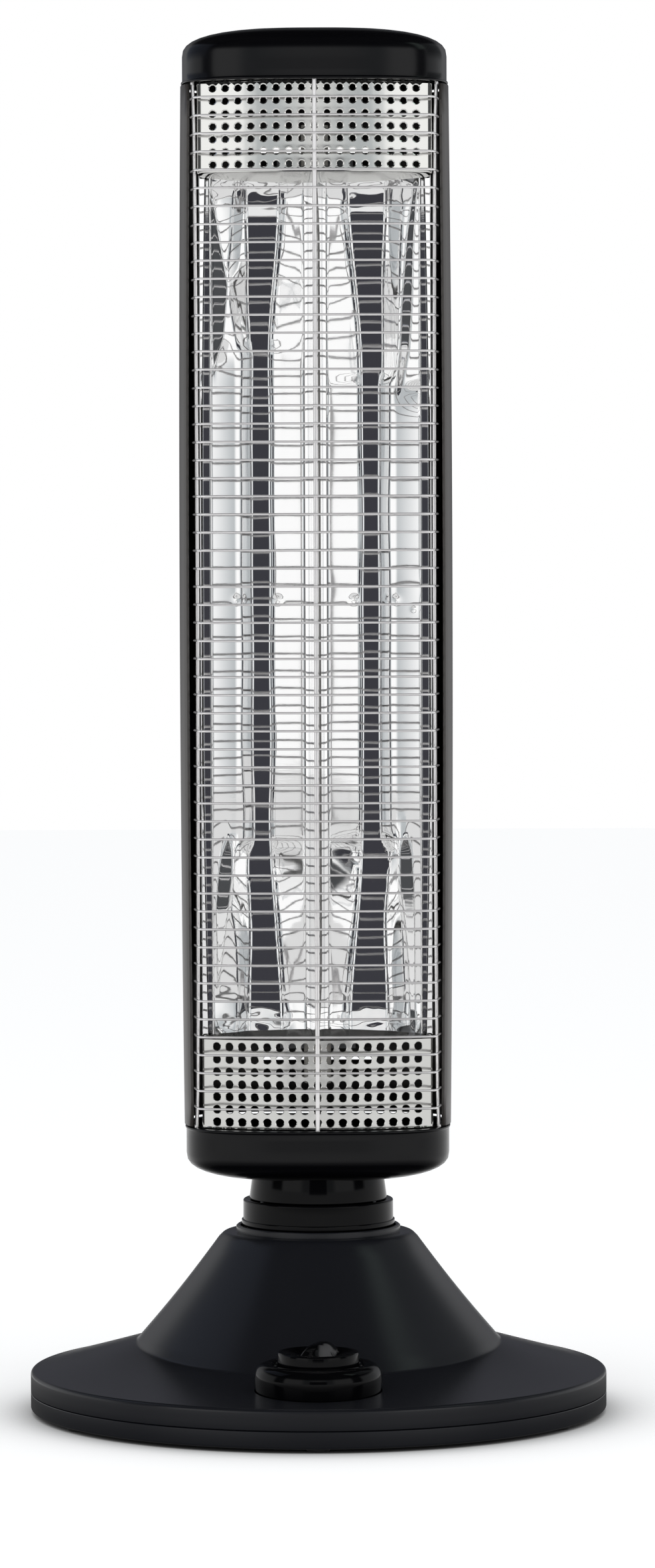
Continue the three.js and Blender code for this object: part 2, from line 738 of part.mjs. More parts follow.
// Base loom: from the neck's middle down behind the motor and along the tray to the rotary switch
const loomLow = floorSeat + loomRadius + loomLift;
const loomNeckEnd = plateBottom - turnGap;
const baseLoomPath = [
  [0, neckY, loomNeckEnd],
  [0, neckY, loomNeckEnd - loomBend],
  [0, neckY, motorBottom],
  [0, neckY, loomLow + loomBend],
  [0, neckY - loomBend, loomLow],
  [tipSize, crankY - loomBend, loomLow],
  [tipSize, tipY, loomLow],
  [tipSize, controlY + switchSize, loomLow],
  [loomBend / 2, controlY + switchSize / 2 + loomBend / 2, switchBottom + loomBend / 2],
  [loomBend / 2, controlY + switchSize / 2 + seatGap, switchBottom + loomBend / 2],
];
add(heater, "base_harness", loom(baseLoomPath, 30), darkPlastic);

// Thrust washer between the cone's top flange and the swivel plate
const swivelTop = plateBottom + plateThickness;
const washerBottom = swivelTop + seatGap;
const washerTop = washerBottom + washerThickness;
const washerProfile = [[neckHole, washerBottom], [washerRadius, washerBottom]];
washerProfile.push([washerRadius, washerTop], [neckHole, washerTop]);
const washer = turned([...washerProfile, washerProfile[0]], roundSides);
add(heater, "thrust_washer", at(washer, 0, neckY, 0), nylon);

// Swivel plate: clamps the neck from below, with a radial slot for the crank's pin
function swivelPlate() {
  const slot = [[-slotHalfWidth, -slotOuter], [slotHalfWidth, -slotOuter], [slotHalfWidth, -slotInner]];
  slot.push([-slotHalfWidth, -slotInner]);
  const low = plateBottom - overrun;
  const high = swivelTop + overrun;
  let plate = bar(plateRadius, plateBottom, swivelTop).subtract(bar(harnessHole, low, high, smallSides));
  plate = plate.subtract(standing(slot, low, high));
  return withHoles(plate, swivelScrewRadius, swivelScrewAngles, low, high);
}
add(head, "swivel_plate", swivelPlate(), steel);
swivelScrewAngles.forEach((angle, i) => {
  const [x, y] = polar(swivelScrewRadius, angle);
  const screw = screwUp(plateBottom - seatGap - screwHeadHeight, swivelScrewTop);
  add(head, `swivel_screw_${i + 1}`, at(screw, x, y, 0), steel);
});

// Neck ring: spigot through the cone's top, collar on its lip
const ringBottom = lipTop + seatGap;
const sleeveBottom = ringTop + seatGap;
function neckRing() {
  const spigot = neckHole - turnGap;
  const profile = [[neckBore, swivelTop + seatGap], [spigot, swivelTop + seatGap], [spigot, ringBottom]];
  profile.push([ringRadius, ringBottom], [ringRadius, ringTop], [neckBore, ringTop]);
  profile.push([neckBore, swivelTop + seatGap]);
  return withHoles(turned(profile, roundSides), swivelScrewRadius, swivelScrewAngles, 0, ringTop + overrun);
}
function neckSleeve() {
  const floor = sleeveTop - sleeveFloor;
  const profile = [[neckBore, sleeveBottom], [sleeveLowRadius, sleeveBottom], [sleeveTopRadius, sleeveTop]];
  profile.push([harnessHole, sleeveTop], [harnessHole, floor], [neckBore, floor], [neckBore, sleeveBottom]);
  const swivelTip = swivelScrewTop + turnGap;
  const drilled = withHoles(turned(profile, roundSides), swivelScrewRadius, swivelScrewAngles, 0, swivelTip);
  return withHoles(drilled, neckScrewRadius, neckScrewAngles, 0, sleeveTop + overrun);
}
add(head, "neck_ring", neckRing(), glossBlack);
add(head, "neck_sleeve", neckSleeve(), glossBlack);

neckScrewAngles.forEach((angle, i) => {
  const [x, y] = polar(neckScrewRadius, angle);
  const length = capPadTop + seatGap + screwHeadHeight - (sleeveTop - sleeveFloor);
  const screw = screwUp(0, length).rotate([180, 0, 0]);
  add(head, `neck_screw_${i + 1}`, at(screw, x, y, capPadTop + seatGap + screwHeadHeight), steel);
});

// The half-width of the housing outside, at a height and a depth
const headMiddle = (bottomMate + topMate) / 2;
function housingWidth(height, depth) {
  const share = (height - headMiddle) / ((topMate - bottomMate) / 2);
  const half = housingHalfWidth + housingBulge * (1 - share ** 2);
  return widthAt(depth, half, housingHalfDepth, housingPower);
}

// Rings of a cap's outside or inside, from its mating edge to its crown, grown inwards by an inset
function capBody(inset, edgeReach, lip) {
  const plan = (grow, share) =>
    superellipse((capHalfWidth + grow) * share, (capHalfDepth + grow) * share, capPower, capRingPoints);
  const ring = (outline, height) => outline.map(([x, y]) => new THREE.Vector3(x, y, height));
  const rings = [ring(plan(lip - inset, 1), -edgeReach)];
  if (lip > 0) rings.push(ring(plan(lip, 1), capLipHeight), ring(plan(0, 1), capLipHeight));
  for (const angle of crownAngles) {
    const width = Math.cos(degrees(angle)) ** (2 / crownPower);
    const up = Math.sin(degrees(angle)) ** (2 / crownPower);
    rings.push(ring(plan(-inset, width), capWallHeight + up * (crownHeight - inset)));
  }
  return skinned(rings);
}

// An end cap, built on its mating edge and pointing up: shell, ledge for the guard's rods, screw posts
function endCap(mate) {
  const outside = capBody(0, 0, capLip);
  const hollow = capBody(capWall, overrun, 0);
  const ledgeTop = seatGap + ledgeThickness;
  const ledgeBox = block([-capHalfWidth, -capHalfDepth, seatGap], [capHalfWidth, ledgeBack, ledgeTop]);
  let cap = outside.subtract(hollow).add(ledgeBox.intersect(outside));
  for (const side of [-1, 1]) {
    const left = side * capPostX - capPostWidth / 2;
    const post = [[left, capPostFront, -capPostReach], [left + capPostWidth, capPostBack, capWallHeight]];
    const hole = barAlongY(screwHole, capPostBack - capScrewLength, capPostBack + overrun, smallSides);
    cap = cap.add(block(...post)).subtract(at(hole, side * capPostX, 0, -capScrewReach));
  }
  const sideRodHole = bar(sideRodRadius + seatGap, -overrun, ledgeThickness + overrun, smallSides);
  for (const side of [-1, 1]) cap = cap.subtract(at(sideRodHole, side * sideRodEndX, sideRodDepth, 0));
  const centreRodHole = bar(centreRodRadius + seatGap, -overrun, ledgeThickness + overrun, smallSides);
  cap = cap.subtract(at(centreRodHole, 0, centreRodDepth, 0));
  return at(cap, 0, 0, mate);
}

// The guard's side rods lean outwards to their ends, and all rods touch the wires from behind
const weld = wireRadius - weldSink;
const sideRodEndX = sideRodX + guardBow;
const centreRodDepth = wireFront + weld + centreRodRadius;

// Bottom cap: the same cap upside down, with a pad that the neck's sleeve sits under
function bottomCap() {
  const turnedDown = endCap(0).rotate([0, 180, 0]);
  const padBottom = sleeveTop + seatGap;
  const outline = capBody(0, 0, capLip).rotate([0, 180, 0]);
  const pad = bar(capPadRadius, 0, capPadTop).intersect(at(outline, 0, 0, bottomMate));
  let cap = at(turnedDown, 0, 0, bottomMate).add(pad);
  cap = cap.subtract(bar(sleeveTopRadius + seatGap, 0, padBottom));
  cap = cap.subtract(bar(harnessHole, 0, capPadTop + overrun, smallSides));
  return withHoles(cap, neckScrewRadius, neckScrewAngles, 0, capPadTop + overrun);
}
add(head, "top_cap", endCap(topMate), glossBlack);
add(head, "bottom_cap", bottomCap(), glossBlack);

// Rear housing: a sheet from one front edge round the back to the other, wider at mid-height
function housing() {
  const low = bottomMate + capSeam;
  const high = topMate - capSeam;
  const edgeTurn = (half) => Math.asin(Math.abs(housingFront / housingHalfDepth) ** (half / 2));
  const start = -edgeTurn(housingPower);
  const reach = (value) => Math.sign(value) * Math.abs(value) ** (2 / housingPower);
  const section = (height, inset) =>
    Array.from({ length: housingPoints + 1 }, (_, i) => {
      const turn = start + ((Math.PI - 2 * start) * i) / housingPoints;
      const half = housingWidth(height, 0) - inset;
      const depth = housingHalfDepth - inset;
      return new THREE.Vector3(half * reach(Math.cos(turn)), depth * reach(Math.sin(turn)), height);
    });
  const rings = Array.from({ length: housingSpans + 1 }, (_, i) => {
    const height = low + ((high - low) * i) / housingSpans;
    return [...section(height, 0), ...section(height, housingSheet).reverse()];
  });
  const last = 2 * housingPoints + 1;
  const ends = Array.from({ length: housingPoints }, (_, i) => [
    [i, i + 1, last - i - 1],
    [i, last - i - 1, last - i],
  ]).flat();
  let shell = skinned(rings, ends);
  for (const [mate, away] of [[bottomMate, 1], [topMate, -1]]) {
    for (const side of [-1, 1]) {
      const hole = barAlongY(screwHole, capPostBack - overrun, housingHalfDepth + overrun, smallSides);
      shell = shell.subtract(at(hole, side * capPostX, 0, mate + away * capScrewReach));
    }
    for (let i = 0; i < slotCount; i++) {
      const height = mate + away * (ventSlotStart + i * ventSlotPitch);
      const half = ventSlotLength / 2;
      const low = [-half, capPostFront, height - ventSlotHeight / 2];
      shell = shell.subtract(block(low, [half, housingHalfDepth + overrun, height + ventSlotHeight / 2]));
    }
  }
  return shell;
}
add(head, "rear_housing", housing(), sheetBlack);

// Cap screws, from behind through the housing into the caps' posts
let capScrewNumber = 0;
for (const [mate, away] of [[bottomMate, 1], [topMate, -1]])
  for (const side of [-1, 1]) {
    capScrewNumber += 1;
    const headBack = housingHalfDepth + seatGap + screwHeadHeight;
    const tip = headBack - (capPostBack - capScrewLength + turnGap);
    const height = mate + away * capScrewReach;
    const screw = at(screwUp(0, tip).rotate([90, 0, 0]), side * capPostX, headBack, height);
    add(head, `cap_screw_${capScrewNumber}`, screw, steel);
  }

// Reflector: W-shaped sheet with three tabs on each side that reach to the housing
function reflector() {
  const half = [[0, ridgeDepth], [ridgeHalfWidth, ridgeDepth], [troughInner, troughDepth]];
  half.push([troughOuter, troughDepth], [panelHalfWidth, panelDepth], [rimHalfWidth, rimDepth]);
  half.push([reflectorHalfWidth, flangeDepth], [reflectorHalfWidth, legDepth]);
  const mirrored = half.slice(1).reverse().map(([x, y]) => [-x, y]);
  const section = sheetOutline([...mirrored, ...half.slice(1)], reflectorSheet);
  let sheet = standing(section, reflectorBottom, reflectorTop);
  for (const share of tabShares) {
    const height = reflectorBottom + share * (reflectorTop - reflectorBottom);
    const low = height - tabHeight / 2;
    const high = height + tabHeight / 2;
    const tip = Math.min(housingWidth(low, tabDepth), housingWidth(high, tabDepth)) - housingSheet - tabGap;
    for (const side of [-1, 1]) {
      const x = [side * (reflectorHalfWidth - reflectorSheet / 2), side * tip].sort((a, b) => a - b);
      sheet = sheet.add(block([x[0], tabDepth, low], [x[1], tabDepth + reflectorSheet, high]));
    }
  }
  return sheet;
}
add(head, "reflector", reflector(), polished);

// Lamp brackets: plates across the reflector's ends that carry the lamp, flanged along the housing's back
const lampHoleRadius = tubeRadius + turnGap;
function lampBracket(sheetEdge, away) {
  const [low, high] = [sheetEdge, sheetEdge + away * bracketSheet].sort((a, b) => a - b);
  const flangeEnd = sheetEdge + away * bracketFlange;
  const [flangeLow, flangeHigh] = [sheetEdge, flangeEnd].sort((a, b) => a - b);
  const front = rimDepth - seatGap;
  const outline = [[-bracketHalfWidth, front], [bracketHalfWidth, front]];
  outline.push([bracketHalfWidth, bracketWideBack], [bracketNeckHalfWidth, loomBack / 2]);
  outline.push([bracketNeckHalfWidth, bracketBack]);
  outline.push([-bracketNeckHalfWidth, bracketBack], [-bracketNeckHalfWidth, loomBack / 2]);
  outline.push([-bracketHalfWidth, bracketWideBack]);
  const flangeFront = bracketBack - bracketSheet;
  const flangeCorner = [-bracketNeckHalfWidth, flangeFront, flangeLow];
  const flange = block(flangeCorner, [bracketNeckHalfWidth, bracketBack, flangeHigh]);
  const lampWay = at(bar(lampHoleRadius, low - overrun, high + overrun, smallSides), 0, lampV, 0);
  const loomWay = at(bar(loomRadius + loomSlack, low - overrun, high + overrun, smallSides), 0, loomBack, 0);
  return standing(outline, low, high).add(flange).subtract(lampWay).subtract(loomWay);
}
const topBracketEdge = reflectorTop + seatGap;
const bottomBracketEdge = reflectorBottom - seatGap;
add(head, "lamp_bracket_top", lampBracket(topBracketEdge, 1), steel);
add(head, "lamp_bracket_bottom", lampBracket(bottomBracketEdge, -1), steel);

// Ceramic lamp ends, each built on its bracket and pointing away from the reflector
function lampEnd() {
  const tubeWay = bar(tubeRadius + seatGap, -overrun, tubeInEnd + seatGap);
  const strandWay = bar(strandRadius + seatGap, 0, lampEndLength + overrun, smallSides);
  return bar(lampEndRadius, 0, lampEndLength, 2 * smallSides).subtract(tubeWay).subtract(strandWay);
}
const topEndSeat = topBracketEdge + bracketSheet + seatGap;
const bottomEndSeat = bottomBracketEdge - bracketSheet - seatGap;
const bottomEnd = lampEnd().rotate([180, 0, 0]);
add(head, "lamp_end_top", at(lampEnd(), 0, lampV, topEndSeat), porcelain);
add(head, "lamp_end_bottom", at(bottomEnd, 0, lampV, bottomEndSeat), porcelain);

// Quartz tube, open at both ends, with the heating strand through it
const tubeHigh = topEndSeat + tubeInEnd;
const tubeLow = bottomEndSeat - tubeInEnd;
const tubeProfile = [[tubeRadius - tubeWall, tubeLow], [tubeRadius, tubeLow], [tubeRadius, tubeHigh]];
tubeProfile.push([tubeRadius - tubeWall, tubeHigh], [tubeRadius - tubeWall, tubeLow]);
add(head, "quartz_tube", at(turned(tubeProfile, 2 * smallSides), 0, lampV, 0), quartz);
const strandOut = lampEndLength - turnGap;
const strand = bar(strandRadius, bottomEndSeat - strandOut, topEndSeat + strandOut, smallSides);
add(head, "heating_strand", at(strand, 0, lampV, 0), carbon);

// Perforated cover over one end of the lamp: bowed front, bent flanges, a shelf at the reflector's end
function ventCover(foldEdge, mate) {
  const away = Math.sign(mate - foldEdge);
  const bow = (x) => coverFront + coverBowRadius - Math.sqrt(coverBowRadius ** 2 - x ** 2);
  const line = [];
  for (let i = 0; i <= holeColumns; i++) {
    const x = (i - holeColumns / 2) * holePitch;
    line.push([x, bow(x)]);
  }
  const corner = [coverHalfWidth, bow(coverHalfWidth - coverCorner) + coverCorner];
  const flange = [coverHalfWidth, coverFlangeBack];
  const front = [[-flange[0], flange[1]], [-corner[0], corner[1]], ...line, corner, flange];
  const [low, high] = [foldEdge, mate - away * seatGap].sort((a, b) => a - b);
  let cover = standing(sheetOutline(front, coverSheet), low, high);
  const shelfBack = rimDepth - 2 * seatGap;
  const shelf = [[-corner[0], shelfBack], [-corner[0], corner[1]], ...line, corner, [corner[0], shelfBack]];
  const [shelfLow, shelfHigh] = [foldEdge, foldEdge + away * coverSheet].sort((a, b) => a - b);
  cover = cover.add(standing(shelf, shelfLow, shelfHigh));
  const cutterLow = coverFront - overrun;
  const cutterHigh = bow(coverHalfWidth) + coverSheet + overrun;
  const punch = barAlongY(holeRadius, cutterLow, cutterHigh, holeSides);
  const punches = [];
  for (let row = 0; row < holeRows; row++)
    for (let column = 0; column < holeColumns; column++) {
      const x = (column - (holeColumns - 1) / 2) * holePitch;
      punches.push(at(punch, x, 0, mate - away * (holeStart + row * holePitch)));
    }
  const lampWay = bar(lampHoleRadius, shelfLow - overrun, shelfHigh + overrun, smallSides);
  return cover.subtract(wasm.Manifold.union(punches)).subtract(at(lampWay, 0, lampV, 0));
}
add(head, "vent_cover_top", ventCover(topBracketEdge, topMate), polished);
add(head, "vent_cover_bottom", ventCover(bottomBracketEdge, bottomMate), polished);

// Wire guard: level wires welded in front of three upright rods
function wireGuard() {
  const middle = (wireFirst + wireLast) / 2;
  const bowAt = (height) => guardBow * ((height - middle) / ((topMate - bottomMate) / 2)) ** 2;
  const upright = new THREE.Vector3(0, 0, 1);
  const parts = Array.from({ length: wireCount }, (_, i) => {
    const height = wireFirst + ((wireLast - wireFirst) * i) / (wireCount - 1);
    const bow = bowAt(height);
    const half = [[wireCornerX, wireCornerDepth], [wireSideX + bow, wireSideDepth]];
    half.push([wireEndX + bow, wireEndDepth]);
    const left = half.map(([x, y]) => [-x, y]).reverse();
    const points = [...left, [0, wireFront], ...half].map(([x, y]) => new THREE.Vector3(x, y, height));
    return wire(points, wireRadius, wireSides, upright);
  });
  const low = bottomMate - rodReach;
  const high = topMate + rodReach;
  const backward = new THREE.Vector3(0, 1, 0);
  for (const side of [-1, 1]) {
    const points = Array.from({ length: rodSpans + 1 }, (_, i) => {
      const height = low + ((high - low) * i) / rodSpans;
      return new THREE.Vector3(side * (sideRodX + bowAt(height)), sideRodDepth, height);
    });
    parts.push(wire(points, sideRodRadius, rodSides, backward));
  }
  parts.push(at(bar(centreRodRadius, low, high, rodSides), 0, centreRodDepth, 0));
  return wasm.Manifold.union(parts);
}
add(head, "wire_guard", wireGuard(), polished);

// Thermal cut-out behind one trough of the reflector
const cutoutFront = troughDepth + reflectorSheet + seatGap;
const cutout = barAlongY(cutoutRadius, cutoutFront, cutoutFront + cutoutDepth, 2 * smallSides);
const cutoutX = (troughInner + troughOuter) / 2;
add(head, "thermal_cutout", at(cutout, cutoutX, 0, cutoutHeight), darkPlastic);

// Head loom: from both lamp ends down behind the reflector and through the neck
function headLoom() {
  const topExit = topEndSeat + lampEndLength + seatGap;
  const bottomExit = bottomEndSeat - lampEndLength - seatGap;
  const throughNeck = [[0, 0, capPadTop + loomBend], [0, 0, sleeveBottom], [0, 0, plateBottom + turnGap]];
  const main = [
    [0, lampV, topExit],
    [0, lampV, topExit + loomBend / 3],
    [0, loomBack / 2, topExit + loomBend / 2],
    [0, loomBack, topExit - loomBend],
    [0, loomBack, reflectorTop - 2 * loomBend],
    [0, loomBack, headMiddle],
    [0, loomBack, reflectorBottom + 2 * loomBend],
    [0, loomBack, reflectorBottom - loomBend],
    [0, loomBack / 2, bottomMate + loomBend],
    ...throughNeck,
  ];
  const branchStart = [[0, lampV, bottomExit], [0, lampV, bottomExit - loomBend / 3]];
  const branch = [...branchStart, [0, lampV / 3, bottomExit - 2 * loomBend], ...throughNeck.slice(0, 2)];
  return loom(main, 30).add(loom(branch, 8));
}
add(head, "head_harness", headLoom(), darkPlastic);

export default heater;
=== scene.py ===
import json
import math

import bmesh
import bpy
from mathutils import Matrix, Vector, noise


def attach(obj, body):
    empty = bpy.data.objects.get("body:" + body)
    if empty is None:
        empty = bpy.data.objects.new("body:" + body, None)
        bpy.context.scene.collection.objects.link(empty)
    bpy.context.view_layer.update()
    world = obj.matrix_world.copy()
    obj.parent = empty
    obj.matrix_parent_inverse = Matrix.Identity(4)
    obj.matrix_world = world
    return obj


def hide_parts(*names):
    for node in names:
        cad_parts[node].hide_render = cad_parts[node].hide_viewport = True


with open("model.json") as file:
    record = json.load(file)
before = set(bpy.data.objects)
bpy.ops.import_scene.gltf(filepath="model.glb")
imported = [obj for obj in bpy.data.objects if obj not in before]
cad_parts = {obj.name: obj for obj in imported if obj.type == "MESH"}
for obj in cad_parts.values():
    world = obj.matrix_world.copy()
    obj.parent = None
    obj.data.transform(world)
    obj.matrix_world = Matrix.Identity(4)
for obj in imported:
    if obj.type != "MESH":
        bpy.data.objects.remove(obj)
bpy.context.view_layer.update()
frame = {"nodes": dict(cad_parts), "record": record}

MM = 0.001

# Camera: the photograph's long lens, a little above the heater's middle and looking slightly down.
# Its place was found from the rims of the base and the caps and from the rows of guard wires.
LENS_PIXELS = 8802
PHOTO_HEIGHT = 2362
SENSOR = 36
camera_data = bpy.data.cameras.new("camera")
camera_data.sensor_fit = "AUTO"
camera_data.sensor_width = SENSOR
camera_data.lens = LENS_PIXELS / PHOTO_HEIGHT * SENSOR
camera_data.clip_start = 0.1
camera_data.clip_end = 50
camera = bpy.data.objects.new("camera", camera_data)
camera.location = (5.6 * MM, -3006 * MM, 450.5 * MM)
LOOK_DOWN = math.radians(90 - 2.423)
ROLL = math.radians(0.194)
camera.rotation_mode = "QUATERNION"
tilt = Matrix.Rotation(LOOK_DOWN, 3, "X") @ Matrix.Rotation(-ROLL, 3, "Z")
camera.rotation_quaternion = tilt.to_quaternion()
bpy.context.scene.collection.objects.link(camera)
bpy.context.scene.camera = camera
bpy.context.scene.view_settings.view_transform = "Standard"


def linear(hex_colour):
    """An sRGB hex colour as the linear values that Blender's sockets take."""
    values = [int(hex_colour[i:i + 2], 16) / 255 for i in (1, 3, 5)]
    flat = [v / 12.92 if v <= 0.04045 else ((v + 0.055) / 1.055) ** 2.4 for v in values]
    return (*flat, 1.0)


def node(tree, kind, settings=None, **inputs):
    """Adds a node; settings are its properties, inputs are values or the sockets that feed it."""
    made = tree.nodes.new(kind)
    for name, value in (settings or {}).items():
        setattr(made, name, value)
    for name, value in inputs.items():
        key = int(name[1:]) if name[0] == "i" and name[1:].isdigit() else name.replace("_", " ")
        socket = made.inputs[key]
        if isinstance(value, bpy.types.NodeSocket):
            tree.links.new(value, socket)
        else:
            socket.default_value = value
    return made


# Studio: even light for everything that isn't polished. Polished surfaces see a ring of pale screens
# instead, dark in a gap on each side and dim behind the heater. It is dark overhead, which keeps the
# crowns black. Each screen: degrees round from the front, the same on both sides, colour, strength.
AMBIENT = 0.8
GLARE = 1.0
OVERHEAD = 0.03
SCREENS = [(0, "#f4f4f4", 0.95), (13, "#e4e8ea", 0.85), (18, "#d8dde0", 0.76), (25, "#dadfe2", 0.8),
           (32, "#ffffff", 1.12), (62, "#ffffff", 1.12), (67, "#e0e4ea", 0.1), (83, "#d0d4da", 0.08),
           (90, "#f0f2f4", 0.9), (135, "#f0f2f4", 0.78), (155, "#e4e4e8", 0.42), (170, "#d0d4da", 0.16),
           (180, "#d0d4da", 0.1)]
world = bpy.data.worlds.new("studio")
world.use_nodes = True
bpy.context.scene.world = world
sky = world.node_tree
sky.nodes.clear()
rays = node(sky, "ShaderNodeLightPath")
direction = node(sky, "ShaderNodeTexCoord")
split = node(sky, "ShaderNodeSeparateXYZ", Vector=direction.outputs["Generated"])
sideways = node(sky, "ShaderNodeMath", {"operation": "ABSOLUTE"}, i0=split.outputs["X"])
forwards = node(sky, "ShaderNodeMath", {"operation": "MULTIPLY"}, i0=split.outputs["Y"], i1=-1.0)
turned = node(sky, "ShaderNodeMath", {"operation": "ARCTAN2"},
              i0=sideways.outputs[0], i1=forwards.outputs[0])
round_share = node(sky, "ShaderNodeMath", {"operation": "DIVIDE"}, i0=turned.outputs[0], i1=math.pi)
screens = node(sky, "ShaderNodeValToRGB", Fac=round_share.outputs[0])
stops = screens.color_ramp.elements
for number, (angle, tint, strength) in enumerate(SCREENS):
    stop = stops[number] if number < 2 else stops.new(angle / 180)
    stop.position = angle / 180
for stop, (angle, tint, strength) in zip(stops, SCREENS):
    stop.color = (*(part * strength for part in linear(tint)[:3]), 1)
height = node(sky, "ShaderNodeMapRange", {"interpolation_type": "SMOOTHSTEP"},
              Value=split.outputs["Z"], From_Min=0.34, From_Max=0.54, To_Min=GLARE, To_Max=OVERHEAD)
white = node(sky, "ShaderNodeBackground", Color=(1, 1, 1, 1), Strength=1.0)
sweep = node(sky, "ShaderNodeBackground", Color=screens.outputs["Color"], Strength=height.outputs["Result"])
ambient = node(sky, "ShaderNodeBackground", Color=(0.97, 0.985, 1, 1), Strength=AMBIENT)
glossy = node(sky, "ShaderNodeMixShader", i0=rays.outputs["Is Glossy Ray"],
              i1=ambient.outputs[0], i2=sweep.outputs[0])
see_through = node(sky, "ShaderNodeMath", {"operation": "MAXIMUM"},
                   i0=rays.outputs["Is Camera Ray"], i1=rays.outputs["Is Transmission Ray"])
shown = node(sky, "ShaderNodeMixShader", i0=see_through.outputs[0],
             i1=glossy.outputs[0], i2=white.outputs[0])
node(sky, "ShaderNodeOutputWorld", Surface=shown.outputs[0])


def stand(name, mesh, material=None):
    """An object of a mesh whose place is already in its points."""
    made = bpy.data.objects.new(name, mesh)
    bpy.context.scene.collection.objects.link(made)
    if material:
        made.data.materials.clear()
        made.data.materials.append(material)
    return made


# Floor: matt white card. Part of its white is its own glow, so the heater's shadow stays soft, and a
# painted shadow darkens both its colour and its glow close to the heater. Polished surfaces see it with
# painted shade: dark close to the heater and pale further out. Lengths in metres.
FLOOR_HALF = 6
FLOOR_DROP = 0.0003
PAINTED_SHADOW_REACH = 0.15
FLOOR_GLOW = 0.12
FLOOR_SHOWN = 2.3
floor_paint = bpy.data.materials.new("matt white card")
floor_paint.use_nodes = True
paint = floor_paint.node_tree
paint.nodes.clear()
floor_rays = node(paint, "ShaderNodeLightPath")
# Painted shadow: ambient occlusion darkens the floor's colour and its glow close to the heater.
painted_floor_shadow = node(paint, "ShaderNodeAmbientOcclusion", {"samples": 12}, Distance=PAINTED_SHADOW_REACH)
card = node(paint, "ShaderNodeBsdfDiffuse", Color=painted_floor_shadow.outputs["Color"])
lift = node(paint, "ShaderNodeMapRange", Value=floor_rays.outputs["Is Camera Ray"],
            To_Min=1.0, To_Max=FLOOR_SHOWN)
glow_with_painted_shadow = node(paint, "ShaderNodeMath", {"operation": "MULTIPLY"},
             i0=lift.outputs["Result"], i1=painted_floor_shadow.outputs["AO"])
glow = node(paint, "ShaderNodeEmission", Color=(1, 1, 1, 1), Strength=glow_with_painted_shadow.outputs[0])
floor_mix = node(paint, "ShaderNodeMixShader", i0=FLOOR_GLOW, i1=card.outputs[0], i2=glow.outputs[0])
# Painted shade in reflections: the floor's glow that polished surfaces see is dimmed close to the heater.
floor_place = node(paint, "ShaderNodeTexCoord")
floor_reach = node(paint, "ShaderNodeVectorMath", {"operation": "LENGTH"}, i0=floor_place.outputs["Object"])
painted_reflection_shade = node(paint, "ShaderNodeMapRange", {"interpolation_type": "SMOOTHSTEP"},
                  Value=floor_reach.outputs["Value"], From_Min=0.16, From_Max=0.42, To_Min=0.1, To_Max=0.8)
floor_gloss = node(paint, "ShaderNodeEmission", Color=(1, 1, 1, 1), Strength=painted_reflection_shade.outputs["Result"])
floor_all = node(paint, "ShaderNodeMixShader", i0=floor_rays.outputs["Is Glossy Ray"],
                 i1=floor_mix.outputs[0], i2=floor_gloss.outputs[0])
node(paint, "ShaderNodeOutputMaterial", Surface=floor_all.outputs[0])
floor_mesh = bpy.data.meshes.new("floor")
floor_corners = [(x * FLOOR_HALF, y * FLOOR_HALF, -FLOOR_DROP)
                 for x, y in ((-1, -1), (1, -1), (1, 1), (-1, 1))]
floor_mesh.from_pydata(floor_corners, [], [(0, 1, 2, 3)])
floor = stand("floor", floor_mesh, floor_paint)


def softbox(name, azimuth, distance, centre_height, width, tall, power):
    """A large soft lamp at an azimuth from the front, facing the heater."""
    data = bpy.data.lights.new(name, "AREA")
    data.shape = "RECTANGLE"
    data.size = width
    data.size_y = tall
    data.energy = power
    lamp = bpy.data.objects.new(name, data)
    turn = math.radians(azimuth)
    lamp.location = (distance * math.sin(turn), -distance * math.cos(turn), centre_height)
    aim = Vector((0, 0, centre_height * 0.6)) - lamp.location
    lamp.rotation_mode = "QUATERNION"
    lamp.rotation_quaternion = aim.to_track_quat("-Z", "Y")
    lamp.visible_glossy = False
    bpy.context.scene.collection.objects.link(lamp)


softbox("softbox_left", -52, 2.4, 0.75, 2.2, 1.5, 16)
softbox("softbox_right", 52, 2.4, 0.75, 2.2, 1.5, 16)

# Dark cloths behind and below the camera: only polished surfaces see them, as a dark band between the
# screens. One hangs and one lies in front of it.
def glowing(name, hex_colour, strength):
    """A card or cloth of the studio, as bright as polished surfaces should see it."""
    made = bpy.data.materials.new(name)
    made.use_nodes = True
    made.node_tree.nodes.clear()
    lit = node(made.node_tree, "ShaderNodeEmission", Color=linear(hex_colour), Strength=strength)
    node(made.node_tree, "ShaderNodeOutputMaterial", Surface=lit.outputs[0])
    return made


def studio_card(name, points, faces, material):
    """A card that only polished surfaces see."""
    mesh = bpy.data.meshes.new(name)
    mesh.from_pydata(points, [], faces)
    made = stand(name, mesh, material)
    made.visible_camera = False
    made.visible_diffuse = False
    made.visible_transmission = False
    made.visible_shadow = False


CLOTH_ANGLE = math.radians(15)
CLOTH_LIFT = 0.0005
# Each: how far in front of the heater and how high its two level edges are, in metres
CLOTHS = [((3.05, 0), (3.05, 0.79)), ((2.15, 0), (3.05, 0))]
cloth_points = []
for ends in CLOTHS:
    for side in (-1, 1):
        for back, z in (ends if side < 0 else ends[::-1]):
            cloth_points.append((side * back * math.tan(CLOTH_ANGLE), -back, z + CLOTH_LIFT))
studio_card("cloths", cloth_points, [tuple(range(4 * k, 4 * k + 4)) for k in range(len(CLOTHS))],
            glowing("dark studio cloth", "#3c3c42", 1.0))

